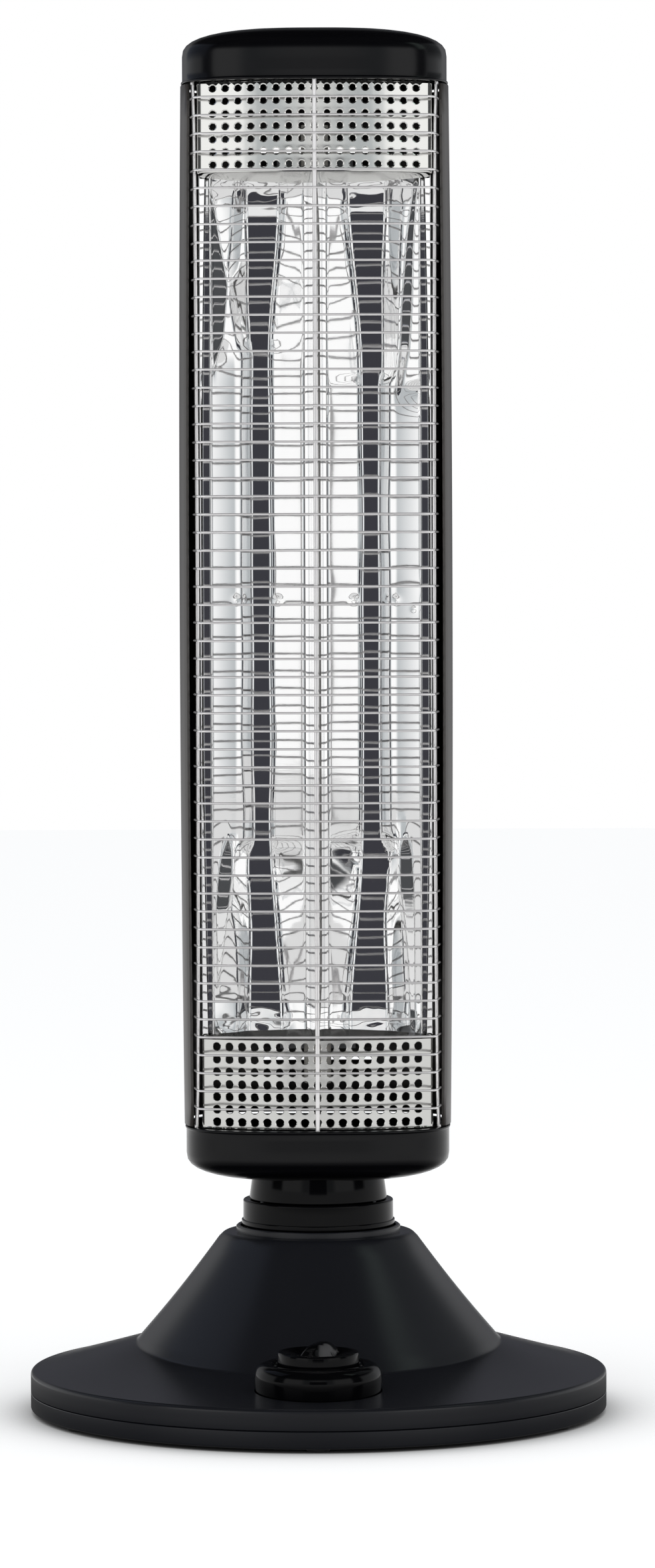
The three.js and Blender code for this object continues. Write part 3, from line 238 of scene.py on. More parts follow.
# Dim side screens and one far behind: they draw the light down both flanks of the cone and on the back
# of the disc. Each: name, two opposite corners as across, back and up in metres, colour, strength.
SIDE_SCREENS = [("screen_left", (-1.15, -0.25, 0.85), (-1.15, 1.3, 1.8), "#c4cfe6", 0.42),
                ("screen_right", (1.15, 0.0, 0.85), (1.15, 1.3, 1.8), "#d4dadd", 0.3),
                ("strip_right", (1.15, -0.33, 1.15), (1.15, 0.0, 2.15), "#cfe0d8", 1.2),
                ("screen_behind", (-1.3, 5.9, 0.8), (1.3, 5.9, 2.0), "#dfe0f0", 0.2)]
for name, (xa, ya, low), (xb, yb, high), tint, strength in SIDE_SCREENS:
    corners = [(xa, ya, low), (xb, yb, low), (xb, yb, high), (xa, ya, high)]
    studio_card(name, corners, [(0, 1, 2, 3)], glowing(name, tint, strength))


# BASE PLATE: the shallow moulded tray under the seam. Its rim is plain, with a chamfer at the floor.
# Screws sit deep in counterbores underneath, and the tip-over plunger comes through a hole.
def arc(x, z, radius, start, end, count):
    """Points of an arc, angles in degrees anticlockwise from +x."""
    turns = [math.radians(start + (end - start) * i / count) for i in range(count + 1)]
    return [(x + radius * math.cos(t), z + radius * math.sin(t)) for t in turns]


def mesh_of(name, points, faces, crease=30):
    """A smooth mesh in millimetres, its normals outward, sharp where faces meet at more than crease."""
    made = bpy.data.meshes.new(name)
    made.from_pydata([(x * MM, y * MM, z * MM) for x, y, z in points], [], faces)
    shape = bmesh.new()
    shape.from_mesh(made)
    bmesh.ops.remove_doubles(shape, verts=shape.verts, dist=1e-7)
    bmesh.ops.recalc_face_normals(shape, faces=shape.faces)
    shape.to_mesh(made)
    shape.free()
    made.shade_smooth()
    made.set_sharp_from_angle(angle=math.radians(crease))
    return made


def loft(name, rings, closed=True, capped=False, joined=False, crease=30):
    """A skin over rings of points; joined also skins the last ring to the first."""
    count = len(rings[0])
    faces = []
    pairs = list(zip(range(len(rings) - 1), range(1, len(rings))))
    if joined:
        pairs.append((len(rings) - 1, 0))
    for low, high in pairs:
        for i in range(count if closed else count - 1):
            j = (i + 1) % count
            faces.append((low * count + i, low * count + j, high * count + j, high * count + i))
    if capped:
        faces.append(tuple(range(count)))
        faces.append(tuple(range((len(rings) - 1) * count, len(rings) * count)))
    return mesh_of(name, [p for ring in rings for p in ring], faces, crease)


def lathe(name, profile, x=0, y=0, sides=96, crease=30):
    """A closed profile of (radius, height) turned about an upright axis."""
    rings = []
    for radius, z in profile:
        turns = [math.tau * k / sides for k in range(sides)]
        rings.append([(x + radius * math.cos(t), y + radius * math.sin(t), z) for t in turns])
    return loft(name, rings, joined=True, crease=crease)


def slab(name, outline, low, high):
    """A closed outline of (x, y) points standing between two heights."""
    return loft(name, [[(x, y, z) for x, y in outline] for z in (low, high)], capped=True)


def worked(piece, name):
    """The plain mesh that a piece's modifiers make of it; the piece itself goes."""
    bpy.context.view_layer.update()
    graph = bpy.context.evaluated_depsgraph_get()
    made = bpy.data.meshes.new_from_object(piece.evaluated_get(graph))
    made.name = name
    bpy.data.objects.remove(piece)
    return made


def carve(target, *cutters):
    """Cuts meshes out of a mesh for good."""
    carved = stand("carved", target)
    tools = [stand("cutter", cutter) for cutter in cutters]
    for tool in tools:
        cut = carved.modifiers.new("cut", "BOOLEAN")
        cut.operation = "DIFFERENCE"
        cut.solver = "EXACT"
        cut.object = tool
    made = worked(carved, target.name)
    for tool in tools:
        bpy.data.objects.remove(tool)
    return made


def finished(name, mesh, body, material, slot, *nodes):
    """Stands a piece in the scene, in place of its nodes, riding its body."""
    made = stand(name, mesh, material)
    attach(made, body)
    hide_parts(*nodes)
    return made


def coat(name, hex_colour, roughness, metallic=0.0, specular=0.5, bump=None):
    """A plain finish; bump is (pattern size in mm, height in mm, detail)."""
    made = bpy.data.materials.new(name)
    made.use_nodes = True
    tree = made.node_tree
    tree.nodes.clear()
    surface = node(tree, "ShaderNodeBsdfPrincipled", Base_Color=linear(hex_colour), Roughness=roughness,
                   Metallic=metallic, Specular_IOR_Level=specular)
    if bump:
        size, tall, detail = bump
        place = node(tree, "ShaderNodeTexCoord")
        grain = node(tree, "ShaderNodeTexNoise", Vector=place.outputs["Object"],
                     Scale=1 / (size * MM), Detail=detail, Roughness=0.6)
        relief = node(tree, "ShaderNodeBump", Height=grain.outputs["Fac"], Distance=tall * MM)
        tree.links.new(relief.outputs["Normal"], surface.inputs["Normal"])
    node(tree, "ShaderNodeOutputMaterial", Surface=surface.outputs[0])
    return made


# Moulded ABS from a finely blasted mould: near black with a touch of blue, with a broad soft sheen
satin_black = coat("satin black moulding", "#141519", 0.26, specular=0.35, bump=(1.6, 0.012, 3))

DISC = 148.7
TRAY_BOTTOM = 1.8
SEAM = 10.5
FOOT_CIRCLE = 140
SCREW_CIRCLE = 138
SCREW_ANGLES = (-60, -120, 60, 120)
FOOT_ANGLES = [-90 + 60 * i for i in range(6)]
TRAY_FLOOR = 4.3
PLUNGER_BORE = 3.5
SCREW_BORE = 3.6
tray_profile = [(1e-4, TRAY_BOTTOM), (DISC - 1.2, TRAY_BOTTOM),
                *arc(DISC - 1.2, TRAY_BOTTOM + 1.2, 1.2, -80, -10, 4), (DISC, TRAY_BOTTOM + 1.4),
                (DISC, SEAM - 0.45), *arc(DISC - 0.45, SEAM - 0.45, 0.45, 10, 90, 4),
                (DISC - 2.5, SEAM), (DISC - 2.5, TRAY_FLOOR), (1e-4, TRAY_FLOOR)]
tray = lathe("base_plate", tray_profile, sides=192)
plunger_cut = [(1e-4, -2), (PLUNGER_BORE, -2), (PLUNGER_BORE, 6), (1e-4, 6)]
screw_cut = [(1e-4, -2), (SCREW_BORE, -2), (SCREW_BORE, 4.1), (1e-4, 4.1)]
tray_cuts = [lathe("bore", plunger_cut, 0, -40, sides=32)]
for angle in SCREW_ANGLES:
    turn = math.radians(angle)
    place = (SCREW_CIRCLE * math.cos(turn), SCREW_CIRCLE * math.sin(turn))
    tray_cuts.append(lathe("bore", screw_cut, *place, sides=32))
finished("base_plate", carve(tray, *tray_cuts), "base", satin_black, "satin_black", "base_plate")

# BASE COVER: the disc's shell with the cone moulded on it, in one satin black moulding. The disc's wall
# turns over a tight edge into a slight slope, the cone leaves it with a small fillet, and a lip is raised
# round the neck at the top.
NECK_Y = 35
CONTROL_Y = -98
EDGE = DISC - 2.4
RIM_TOP = 21.6
SHOULDER = [(DISC, 17), (DISC, 19.3), *arc(DISC - 2, 19.6, 2, 10, 78, 7)]
CONE_TOP = (51.6, 86)
CONE_FOOT = 95
CONE_RUN = 42.3
CONE_DROP = 53
CONE_HOLLOW = 1.3
FOOT_HEIGHT = 31.5
FOOT_FALL = 5.5


def edge_reach(turn, radius):
    """Distance from the neck's axis to a circle about the origin, in a direction."""
    along = math.sin(turn) * NECK_Y
    return -along + math.sqrt(along ** 2 + radius ** 2 - NECK_Y ** 2)


def disc_height(turn, reach):
    """Height of the disc's top, which falls from the cone's foot to the rim and is lowest in front."""
    foot = FOOT_HEIGHT - FOOT_FALL * max(0, -math.sin(turn)) ** 1.2
    share = max(0, min(1, (reach - CONE_FOOT) / (edge_reach(turn, EDGE) - CONE_FOOT)))
    return foot + (RIM_TOP - foot) * share


def cone_height(reach):
    """Height of the cone's side at a distance from the neck's axis, straight on into the disc."""
    share = (reach - CONE_TOP[0]) / CONE_RUN
    return CONE_TOP[1] - CONE_DROP * share - CONE_HOLLOW * math.sin(math.pi * max(0, min(1, share)))


def smooth_max(a, b, width):
    """The greater of two heights, rounded where they cross."""
    share = max(0, min(1, 0.5 + (a - b) / (2 * width)))
    return b + (a - b) * share + width * share * (1 - share)


def thickened(mesh, thickness, offset, even=False):
    """A sheet's mesh with its wall; offset -1 puts the wall behind the sheet's face and 1 before it."""
    piece = stand("sheet", mesh)
    wall = piece.modifiers.new("wall", "SOLIDIFY")
    wall.thickness = thickness * MM
    wall.offset = offset
    wall.use_even_offset = even
    return worked(piece, mesh.name)


COVER_SIDES = 240
COVER_WALL = 2.2
FILLET = 0.8
TURRET_HOLE = 32.1
cone_top = [(40.6, 88.5), (40.6, 91.4), *arc(41.2, 91.4, 0.6, 170, 100, 3), (41.7, 92),
            *arc(41.8, 91.4, 0.6, 80, 10, 3), (42.4, 90.6), *arc(43.2, 89.5, 0.8, 200, 262, 4),
            (44.4, 88.62), (46.2, 88.5), *arc(46.9, 83.6, 4.9, 88, 42, 7)]
cone_side = [52 + 4.2 * i for i in range(9)]
cone_side += [88, 90.5, 92.5, 93.6, 94.4, 95, 95.5, 96, 96.5, 97, 97.6, 98.3, 99, 99.7, 101]
disc_wall = [(DISC, 14), (DISC, 11.25), *arc(DISC - 0.45, 11.25, 0.45, -10, -90, 4), (DISC - 2.4, 10.8)]
turns = [math.tau * k / COVER_SIDES for k in range(COVER_SIDES)]
rings = [[(reach, z)] * COVER_SIDES for reach, z in cone_top]
rings += [[(reach, None)] * COVER_SIDES for reach in cone_side]
for share in (0.1, 0.25, 0.5, 0.8, 1):
    rings.append([(cone_side[-1] + share * (edge_reach(t, EDGE) - cone_side[-1]), None) for t in turns])
for radius, z in SHOULDER[::-1] + disc_wall:
    rings.append([(edge_reach(t, radius), z) for t in turns])
placed = []
for ring in rings:
    line = []
    for t, (reach, z) in zip(turns, ring):
        if z is None:
            z = smooth_max(cone_height(reach), disc_height(t, reach), FILLET)
        line.append((reach * math.cos(t), NECK_Y + reach * math.sin(t), z))
    placed.append(line)
walled = thickened(loft("base_cover", placed), COVER_WALL, -1, even=True)
hole_cut = [(1e-4, 5), (TURRET_HOLE, 5), (TURRET_HOLE, 45), (1e-4, 45)]
cover_mesh = carve(walled, lathe("hole", hole_cut, 0, CONTROL_Y, sides=128))
cover_mesh.set_sharp_from_angle(angle=math.radians(38))
finished("base_cover", cover_mesh, "base", satin_black, "satin_black", "base_cover")

# TURRET: the gloss round well that the knob sits in, its rim rolled over and its floor dark.
# It stands through the disc's slope with a fine gap round it.
# ABS from a polished mould: deep black with small sharp highlights
gloss_black = coat("gloss black moulding", "#040405", 0.09, specular=0.14)
turret_profile = [(29.3, 18.9), (35, 18.9), (35, 20.9), (30.8, 20.9), (31.3, 23), (31.75, 25.5),
                  (32.05, 28), (32.2, 30.5), (32.1, 32.2), (31.7, 33.8), (31, 35.2), (30, 36.3),
                  (28.7, 37.1), (27.2, 37.6), (25.6, 37.75), (24.2, 37.5), (23.1, 36.9), (22.35, 35.9),
                  (22.05, 34.6), (22, 31.6), *arc(21.4, 31.6, 0.6, -20, -90, 3), (5.9, 31), (5.9, 29),
                  (29.3, 29)]
turret = lathe("control_bezel", turret_profile, 0, CONTROL_Y, sides=128, crease=35)
finished("control_bezel", turret, "base", gloss_black, "gloss_black", "control_bezel")

# KNOB: a gloss dial with a plain skirt, moulded in one. Its top is dished on both sides of a rounded
# finger bar, and it is pushed on the switch's shaft.
KNOB = 20.6
KNOB_BORE = 18.6
KNOB_FOOT = 34
KNOB_UNDER = 38.2
BAR_TURN = math.radians(18)
BAR_HALF = 8.4


def knob_height(x, y):
    """Height of the knob's top."""
    radius = math.hypot(x, y)
    c, s = math.cos(BAR_TURN), math.sin(BAR_TURN)
    x, y = x * c - y * s, x * s + y * c
    dish = 39.2 + 4.3 * max(0, min(1, (radius - 4) / 15.4)) ** 1.7
    end = max(0, 1 - (abs(y) / (0.99 * KNOB)) ** 3.2)
    ridge = 37.5 + 10.3 * end ** 0.5
    side = max(0, 1 - (abs(x) / BAR_HALF) ** 2.6)
    hump = ridge * side + KNOB_FOOT * (1 - side)
    return smooth_max(hump, dish, 1.1)


def knob_ring(radius, height=None):
    """A ring of the knob, level at a height or else lying on the knob's top."""
    turns = [math.tau * k / 96 for k in range(96)]
    across = [(radius * math.cos(t), radius * math.sin(t)) for t in turns]
    return [(x, CONTROL_Y + y, knob_height(x, y) if height is None else height) for x, y in across]


knob_skirt = [(KNOB_BORE, KNOB_FOOT), (KNOB, KNOB_FOOT), (KNOB, 36.5), (KNOB, 42.1), (KNOB - 0.08, 42.6),
              (KNOB - 0.35, 43.1), (KNOB - 0.8, 43.4)]
knob_rings = [knob_ring(radius, z) for radius, z in knob_skirt]
top_radii = [19.3, 18.6, 17.6, 16.4, *(15 - 1.4 * k for k in range(10)), 1.2, 1e-4]
knob_rings += [knob_ring(radius) for radius in top_radii]
knob_rings += [knob_ring(1e-4, KNOB_UNDER), knob_ring(KNOB_BORE, KNOB_UNDER)]
knob = loft("control_knob", knob_rings, joined=True, crease=40)
finished("control_knob", knob, "knob", gloss_black, "gloss_black", "control_knob")

# NECK RING: the gloss collar that turns on the cone's lip, with a fine flange at its foot.
ring_profile = [(36.5, 84), (36.5, 92.3), (39.6, 92.3), *arc(39.6, 92.7, 0.4, -80, 0, 3), (40, 94.4),
                *arc(39.7, 94.6, 0.3, 10, 80, 3), (39.2, 94.95), (39.15, 104.3),
                *arc(38.2, 104.4, 1, 5, 85, 6), (37.4, 105.4), (30, 105.4), (30, 84)]
neck_ring = lathe("neck_ring", ring_profile, 0, NECK_Y, sides=128)
finished("neck_ring", neck_ring, "head", gloss_black, "gloss_black", "neck_ring")

# NECK SLEEVE: a gloss tapered tube between the ring and the bottom cap.
sleeve_profile = [(30, 105.7), (35.5, 105.7), *arc(35.4, 106.2, 0.5, -70, 0, 3), (34.2, 118.5), (12, 118.5),
                  (12, 115), (30, 115)]
neck_sleeve = lathe("neck_sleeve", sleeve_profile, 0, NECK_Y, sides=128)
finished("neck_sleeve", neck_sleeve, "head", gloss_black, "gloss_black", "neck_sleeve")

# END CAPS: gloss black mouldings, rounded rectangles in plan that roll over into a crown. A small lip
# runs round the mating edge, and behind it a ledge holds the guard's rods.
CAP_HALF = (68.5, 50)
BOTTOM_MATE = 145
TOP_MATE = 684
CAP_SIDES = 160
CAP_WALL = 14.3
CAP_CROWN = 14.7
CAP_CURVE = 2.6
# ABS from a fine, nearly polished mould: the walls show a dull even sheen and the crown stays black
cap_black = coat("semi-gloss black moulding", "#050507", 0.2, specular=0.25, bump=(1.8, 0.006, 2))


def rounded(half_width, half_depth, power, count=CAP_SIDES, start=0.0, end=math.tau):
    """Points of a superellipse about the neck's axis."""
    steps = count if end - start > 6.2 else count + 1
    points = []
    for k in range(steps):
        t = start + (end - start) * k / count
        c, s = math.cos(t), math.sin(t)
        points.append((half_width * math.copysign(abs(c) ** (2 / power), c),
                       half_depth * math.copysign(abs(s) ** (2 / power), s)))
    return points


def cap_ring(grow, share, z):
    """A ring of a cap, grown outwards in mm and then drawn in to a share of its size."""
    half_width, half_depth = ((half + grow) * share for half in CAP_HALF)
    return [(x, y, z) for x, y in rounded(half_width, half_depth, 3)]


def cap_rings():
    """Rings of a cap on its mating edge at zero and pointing up, outside then inside."""
    made = [cap_ring(grow, 1, z) for grow, z in ((-2, 0), (0.2, 0), (0.5, 0.15), (0.6, 0.4), (0.6, 0.9),
                                                 (0.45, 1.15), (0.1, 1.4), (0, 1.7), (0, 5), (0, 10))]
    for angle in (0, 8, 16, 24, 32, 40, 48, 56, 63, 70, 76, 81, 85, 88, 90):
        turn = math.radians(angle)
        share = math.cos(turn) ** (2 / CAP_CURVE) if angle < 90 else 1e-4
        made.append(cap_ring(0, share, CAP_WALL + CAP_CROWN * math.sin(turn) ** (2 / CAP_CURVE)))
    made.append(cap_ring(0, 1e-4, 26.6))
    for share, z in ((0.55, 26.2), (0.8, 24), (0.93, 19), (0.97, 12), (0.97, 0.6)):
        made.append(cap_ring(0, share, z))
    return made


def placed_cap(name, mate, up):
    """One cap with its ledge, turned and moved to its edge of the housing."""
    rings = [[(x, NECK_Y + y, mate + up * z) for x, y, z in ring] for ring in cap_rings()]
    body = loft(name, rings, joined=True, crease=50)
    outline = [(x, NECK_Y + y) for x, y in rounded(67.4, 48.9, 3) if y < -14]
    shelf = slab("ledge", outline, *sorted((mate + up * 0.3, mate + up * 2.3)))
    joined = bmesh.new()
    joined.from_mesh(body)
    joined.from_mesh(shelf)
    joined.to_mesh(body)
    joined.free()
    return body


for name, mate, up in (("top_cap", TOP_MATE, 1), ("bottom_cap", BOTTOM_MATE, -1)):
    finished(name, placed_cap(name, mate, up), "head", cap_black, "gloss_black", name)

# REAR HOUSING: one coated steel sheet bent from side to side, a little fuller at mid-height. Its front
# edges are folded back on themselves, and its back has rows of vent slots at both ends.
# Powder coat on steel: charcoal with a fine grain, and paler than the caps where it is seen edge-on
black_sheet = coat("black coated sheet", "#393634", 0.34, specular=0.6, bump=(0.9, 0.01, 2))
HEAD_MIDDLE = (BOTTOM_MATE + TOP_MATE) / 2
HEAD_HALF = (TOP_MATE - BOTTOM_MATE) / 2
HOUSING_HALF = (69.4, 49.5)
HOUSING_SHEET = 0.8
HOUSING_BULGE = 1.5
HOUSING_POWER = 3.2
HOUSING_ENDS = (146, 683)
FRONT_TURN = -math.asin((28 / HOUSING_HALF[1]) ** (HOUSING_POWER / 2))


def housing_arc(z, shrink):
    """The housing's bend at a height, drawn in by a thickness."""
    wide = HOUSING_HALF[0] + HOUSING_BULGE * (1 - ((z - HEAD_MIDDLE) / HEAD_HALF) ** 2)
    deep = HOUSING_HALF[1] - shrink
    return rounded(wide - shrink, deep, HOUSING_POWER, 96, FRONT_TURN, math.pi - FRONT_TURN)


housing_rings = []
for i in range(33):
    z = HOUSING_ENDS[0] + (HOUSING_ENDS[1] - HOUSING_ENDS[0]) * i / 32
    outside = housing_arc(z, 0)
    inside = housing_arc(z, HOUSING_SHEET)
    x, y = inside[0]
    right = [(x - 0.7, y + 3), (x - 0.9, y + 0.6), (x - 0.3, y - 0.1),
             (outside[0][0] - 0.3, outside[0][1] - 0.05)]
    left = [(-x, y) for x, y in reversed(right)]
    loop = [*right, *outside[1:-1], *left, *reversed(inside[4:-4])]
    housing_rings.append([(x, NECK_Y + y, z) for x, y in loop])
housing = loft("rear_housing", housing_rings, crease=50)
edge = bmesh.new()
edge.from_mesh(housing)
bmesh.ops.holes_fill(edge, edges=[e for e in edge.edges if e.is_boundary], sides=0)
bmesh.ops.recalc_face_normals(edge, faces=edge.faces)
edge.to_mesh(housing)
edge.free()
SLOT_HALF, SLOT_RADIUS = 30, 1.5
SLOTS, FIRST_SLOT, SLOT_PITCH = 5, 30, 10
slot_cuts = []
for mate, away in ((BOTTOM_MATE, 1), (TOP_MATE, -1)):
    for i in range(SLOTS):
        z = mate + away * (FIRST_SLOT + SLOT_PITCH * i)
        reach = SLOT_HALF - SLOT_RADIUS
        outline = arc(reach, z, SLOT_RADIUS, -90, 90, 8) + arc(-reach, z, SLOT_RADIUS, 90, 270, 8)
        rings = [[(x, NECK_Y + y, zz) for x, zz in outline] for y in (36, 55)]
        slot_cuts.append(loft("slot", rings, capped=True))
finished("rear_housing", carve(housing, *slot_cuts), "head", black_sheet, "black_sheet", "rear_housing")

# CAP SCREWS: pan-head screws from behind, through the housing into the caps.
# Zinc-plated steel: grey, brighter and rougher than chrome
plated = coat("zinc-plated steel", "#8d8f92", 0.35, metallic=1.0)
SCREW_X, SCREW_Y, SCREW_FROM_EDGE = 22, 40.6, 7
screw_profile = [(1e-4, 0), (1.4, 0), (1.4, 9), (3, 9.3), (3, 10.1), *arc(2.1, 10.1, 0.9, 15, 90, 5),
                 (1.2, 11.0), (1.1, 10.4), (1e-4, 10.2)]
lying = Matrix.Rotation(math.radians(-90), 4, "X")
screw_places = [(mate + away * SCREW_FROM_EDGE, side) for mate, away in ((BOTTOM_MATE, 1), (TOP_MATE, -1))
                for side in (-1, 1)]
for number, (z, side) in enumerate(screw_places, 1):
    name = f"cap_screw_{number}"
    screw = lathe(name, screw_profile, sides=24)
    screw.transform(Matrix.Translation((side * SCREW_X * MM, (NECK_Y + SCREW_Y) * MM, z * MM)) @ lying)
    finished(name, screw, "head", plated, "plated_steel", name)

# REFLECTOR: thin mirror-finish sheet pressed to a W behind the lamp, its outer edges turned back. It was
# bent by hand: the troughs get shallow and the sides bulge near the ends, which are badly wrinkled.
def polished(name, hex_colour, roughness, ribs, tall):
    """A polished sheet; ribs are the rolling marks' spacing across and along in mm, tall their height."""
    made = coat(name, hex_colour, roughness, metallic=1.0)
    tree = made.node_tree
    surface = tree.nodes["Principled BSDF"]
    place = node(tree, "ShaderNodeTexCoord")
    across, along = (1 / (spacing * MM) for spacing in ribs)
    drawn = node(tree, "ShaderNodeMapping", Vector=place.outputs["Object"], Scale=(across, across, along))
    marks = node(tree, "ShaderNodeTexNoise", Vector=drawn.outputs[0], Scale=1.0, Detail=1.5)
    relief = node(tree, "ShaderNodeBump", Height=marks.outputs["Fac"], Distance=tall * MM)
    tree.links.new(relief.outputs["Normal"], surface.inputs["Normal"])
    return made


# Bright-rolled aluminium: all but a mirror, with rolling marks too fine to see one by one
polished_sheet = polished("mirror-finish aluminium sheet", "#f7f7f7", 0.035, (7, 1.1), 0.0016)
REFLECTOR_LOW, REFLECTOR_HIGH = 192.0, 638.0
REFLECTOR_EDGE = 53.6
REFLECTOR_SHEET = 0.5
FRONT = -20
RIDGE_HALF = 6
RIDGE = -8
TROUGH = 12.4
STRIP_END = (41, -1.3)
SHALLOW = 7.6
# For each side and end, where the side of the sheet lies flatter: distance from the sheet's end, then
# how far out from the middle the flat begins and stops
FLATS = {(-1, 1): [(14, 52.4, 53.4), (35, 49, 53.4), (57, 44.9, 53.2), (85, 47.2, 53.0), (98, 51.5, 52.8)],
         (1, 1): [(6, 51, 53), (34, 47.3, 51.0), (70, 44.4, 50.0), (90, 43.8, 48.7), (104, 42.4, 46),
                  (112, 43.5, 44.5)],
         (-1, -1): [(28, 50.6, 51.8), (48, 47.9, 52.2), (66, 45.7, 52.5), (84, 43.7, 51.2),
                    (94, 43.6, 49.6), (102, 45, 47)],
         (1, -1): [(6, 48, 51), (39, 46.8, 50.9), (57, 45.3, 50.8), (75, 42.8, 50.5), (95, 42.1, 49.4),
                   (101, 44, 48)]}
# Small dents: across, up, radius, depth
DENTS = [(-20.1, 418, 3.3, 0.5), (19.8, 418, 3.3, 0.5), (50.5, 413, 2.2, 0.45), (47.5, 424, 13, 0.3)]


def smooth_step(low, high, value):
    """Eases from 0 at low to 1 at high."""
    share = max(0, min(1, (value - low) / (high - low)))
    return share * share * (3 - 2 * share)


def smooth_min(a, b, width):
    """The smaller of two heights, rounded where they cross."""
    return -smooth_max(-a, -b, width)


def between(table, value):
    """The rest of a table's row at a value of its first column, in straight lines from row to row."""
    value = max(table[0][0], min(table[-1][0], value))
    for low, high in zip(table, table[1:]):
        if value <= high[0]:
            share = (value - low[0]) / (high[0] - low[0])
            return [a + (b - a) * share for a, b in zip(low[1:], high[1:])]
    return table[-1][1:]


def flattened(outer, out, away, flats, strip_x, strip_y):
    """The sheet's outer part with its flatter patch, which mirrors the dark gap beside the heater."""
    first, last = flats[0][0], flats[-1][0]
    present = smooth_step(first - 6, first, away) * (1 - smooth_step(last - 6, last + 14, away))
    if not present:
        return outer
    begin, stop = between(flats, away)
    front = FRONT + 1.7 * (REFLECTOR_EDGE - stop)
    corner = front + 0.7 * (stop - begin)
    steep = corner + (begin - out) * (strip_y - corner) / (begin - strip_x)
    flat = smooth_min(FRONT + 1.7 * (REFLECTOR_EDGE - out), front + 0.7 * (stop - out), 0.3)
    return outer + (smooth_max(flat, steep, 0.5) - outer) * present


def sheet_depth(x, z):
    """Depth of the reflector's front face, from the neck's axis, at a place across and up."""
    side, end = math.copysign(1, x), math.copysign(1, z - (REFLECTOR_LOW + REFLECTOR_HIGH) / 2)
    away, out = min(z - REFLECTOR_LOW, REFLECTOR_HIGH - z), abs(x)
    reach = min(out - RIDGE_HALF, 12)
    turn = math.radians(51.5 - 4.5 * reach / 24)
    inner = RIDGE + reach * math.tan(turn) + max(0, out - RIDGE_HALF - 12) * math.tan(math.radians(47))
    inner = smooth_max(inner, RIDGE + 0.42 * (smooth_max(out, 0.5, 0.5) - RIDGE_HALF), 0.7)
    flare = (1 - smooth_step(6, 120, away)) ** 1.5
    strip_x, strip_y = STRIP_END[0] - 4.5 * flare, STRIP_END[1] + 6.6 * flare
    strip = strip_y + (strip_x - out) * (math.tan(math.radians(61)) if out < strip_x else 4)
    outer = strip_y - (out - strip_x) * (strip_y - FRONT) / (REFLECTOR_EDGE - strip_x)
    outer = flattened(outer, out, away, FLATS[side, end], strip_x, strip_y)
    waver = noise.noise(Vector((side * 3, z / 62, 0.4))) * 1.2
    trough = TROUGH - SHALLOW * flare * (0.85 + 0.15 * side) + waver
    depth = smooth_min(smooth_min(inner, smooth_max(strip, outer, 0.8), 0.6), trough, 0.7)
    free = max(0, min(1, (depth + 20.5) / 8))
    lean, last = (0.005, 0.2) if end > 0 else (0.0026, 0.175)
    turned = 2 * lean + last / 16
    depth += free * (lean * max(0, 25 - away) ** 2 - turned * max(0, 17 - away) ** 2)
    depth += free * (turned - lean) * max(0, 9 - away) ** 2
    crumple = free * (1 - smooth_step(2, 20, away))
    depth += crumple * 0.5 * noise.noise(Vector((x / 13, z / 8, 3.1)))
    depth += crumple * 0.14 * noise.noise(Vector((x / 5, z / 3.5, 7.7)))
    depth += free * 0.10 * noise.noise(Vector((x / 22, z / 40, 5.2)))
    for dent_x, dent_z, radius, deep in DENTS:
        far = math.hypot(x - dent_x, z - dent_z) / radius
        depth += deep * math.exp(-3 * far * far)
    return depth


columns = [-REFLECTOR_EDGE + 2 * REFLECTOR_EDGE * k / 134 for k in range(135)]
heights = []
z = REFLECTOR_LOW
while z < REFLECTOR_HIGH:
    heights.append(z)
    near_end = min(z - REFLECTOR_LOW, REFLECTOR_HIGH - z) < 28
    z += 0.9 if near_end or abs(z - 416) < 7 else 2.3
heights.append(REFLECTOR_HIGH)


def rim_line(z):
    """The turned-back edge and the narrow flange beside it, which widens towards the ends."""
    far = abs(2 * z - REFLECTOR_LOW - REFLECTOR_HIGH) / (REFLECTOR_HIGH - REFLECTOR_LOW)
    inner = 58.5 - 2.1 * max(0, (far - 0.3) / 0.7) ** 1.6
    return [(54.0, -20.4), (54.4, -20.3), (54.6, -19.8), (54.7, -19), (54.8, -8), (55.1, -7.4),
            (inner - 0.3, -7.4), (inner - 0.05, -8), (inner, -17.2), (inner + 0.15, -17.6),
            (inner + 0.5, -17.75), (59.2, -18.2), (59.9, -18.6)]


reflector_rows = []
for z in heights:
    rim = rim_line(z)
    row = [(-x, NECK_Y + y, z) for x, y in reversed(rim)]
    row += [(x, NECK_Y + sheet_depth(x, z), z) for x in columns]
    row += [(x, NECK_Y + y, z) for x, y in rim]
    reflector_rows.append(row)
reflector = loft("reflector", reflector_rows, closed=False, crease=60)
finished("reflector", thickened(reflector, REFLECTOR_SHEET, 1), "head", polished_sheet,
         "polished_aluminium", "reflector")

# LAMP: a clear quartz tube with a dark carbon strand, held in white ceramic ends. The strand is slack
# and rests against the side of the tube.
# Fused quartz, drawn: clear, with a faint gloss. The grey towards its edges, where the wall is seen
# edge-on, is painted shade in its see-through colour.
lamp_glass = bpy.data.materials.new("clear quartz")
lamp_glass.use_nodes = True
quartz = lamp_glass.node_tree
quartz.nodes.clear()
edge_on = node(quartz, "ShaderNodeLayerWeight", Blend=0.5)
# Painted shade: the see-through colour greys towards the tube's edges with the facing angle.
painted_edge_shade = node(quartz, "ShaderNodeValToRGB", Fac=edge_on.outputs["Facing"])
for stop, (position, tint) in zip(painted_edge_shade.color_ramp.elements, ((0.62, "#fefefe"), (0.86, "#d2d4d6"))):
    stop.position = position
    stop.color = linear(tint)
clear = node(quartz, "ShaderNodeBsdfTransparent", Color=painted_edge_shade.outputs["Color"])
shiny = node(quartz, "ShaderNodeBsdfGlossy", Color=(1, 1, 1, 1), Roughness=0.03)
thin_wall = node(quartz, "ShaderNodeMixShader", i0=0.035, i1=clear.outputs[0], i2=shiny.outputs[0])
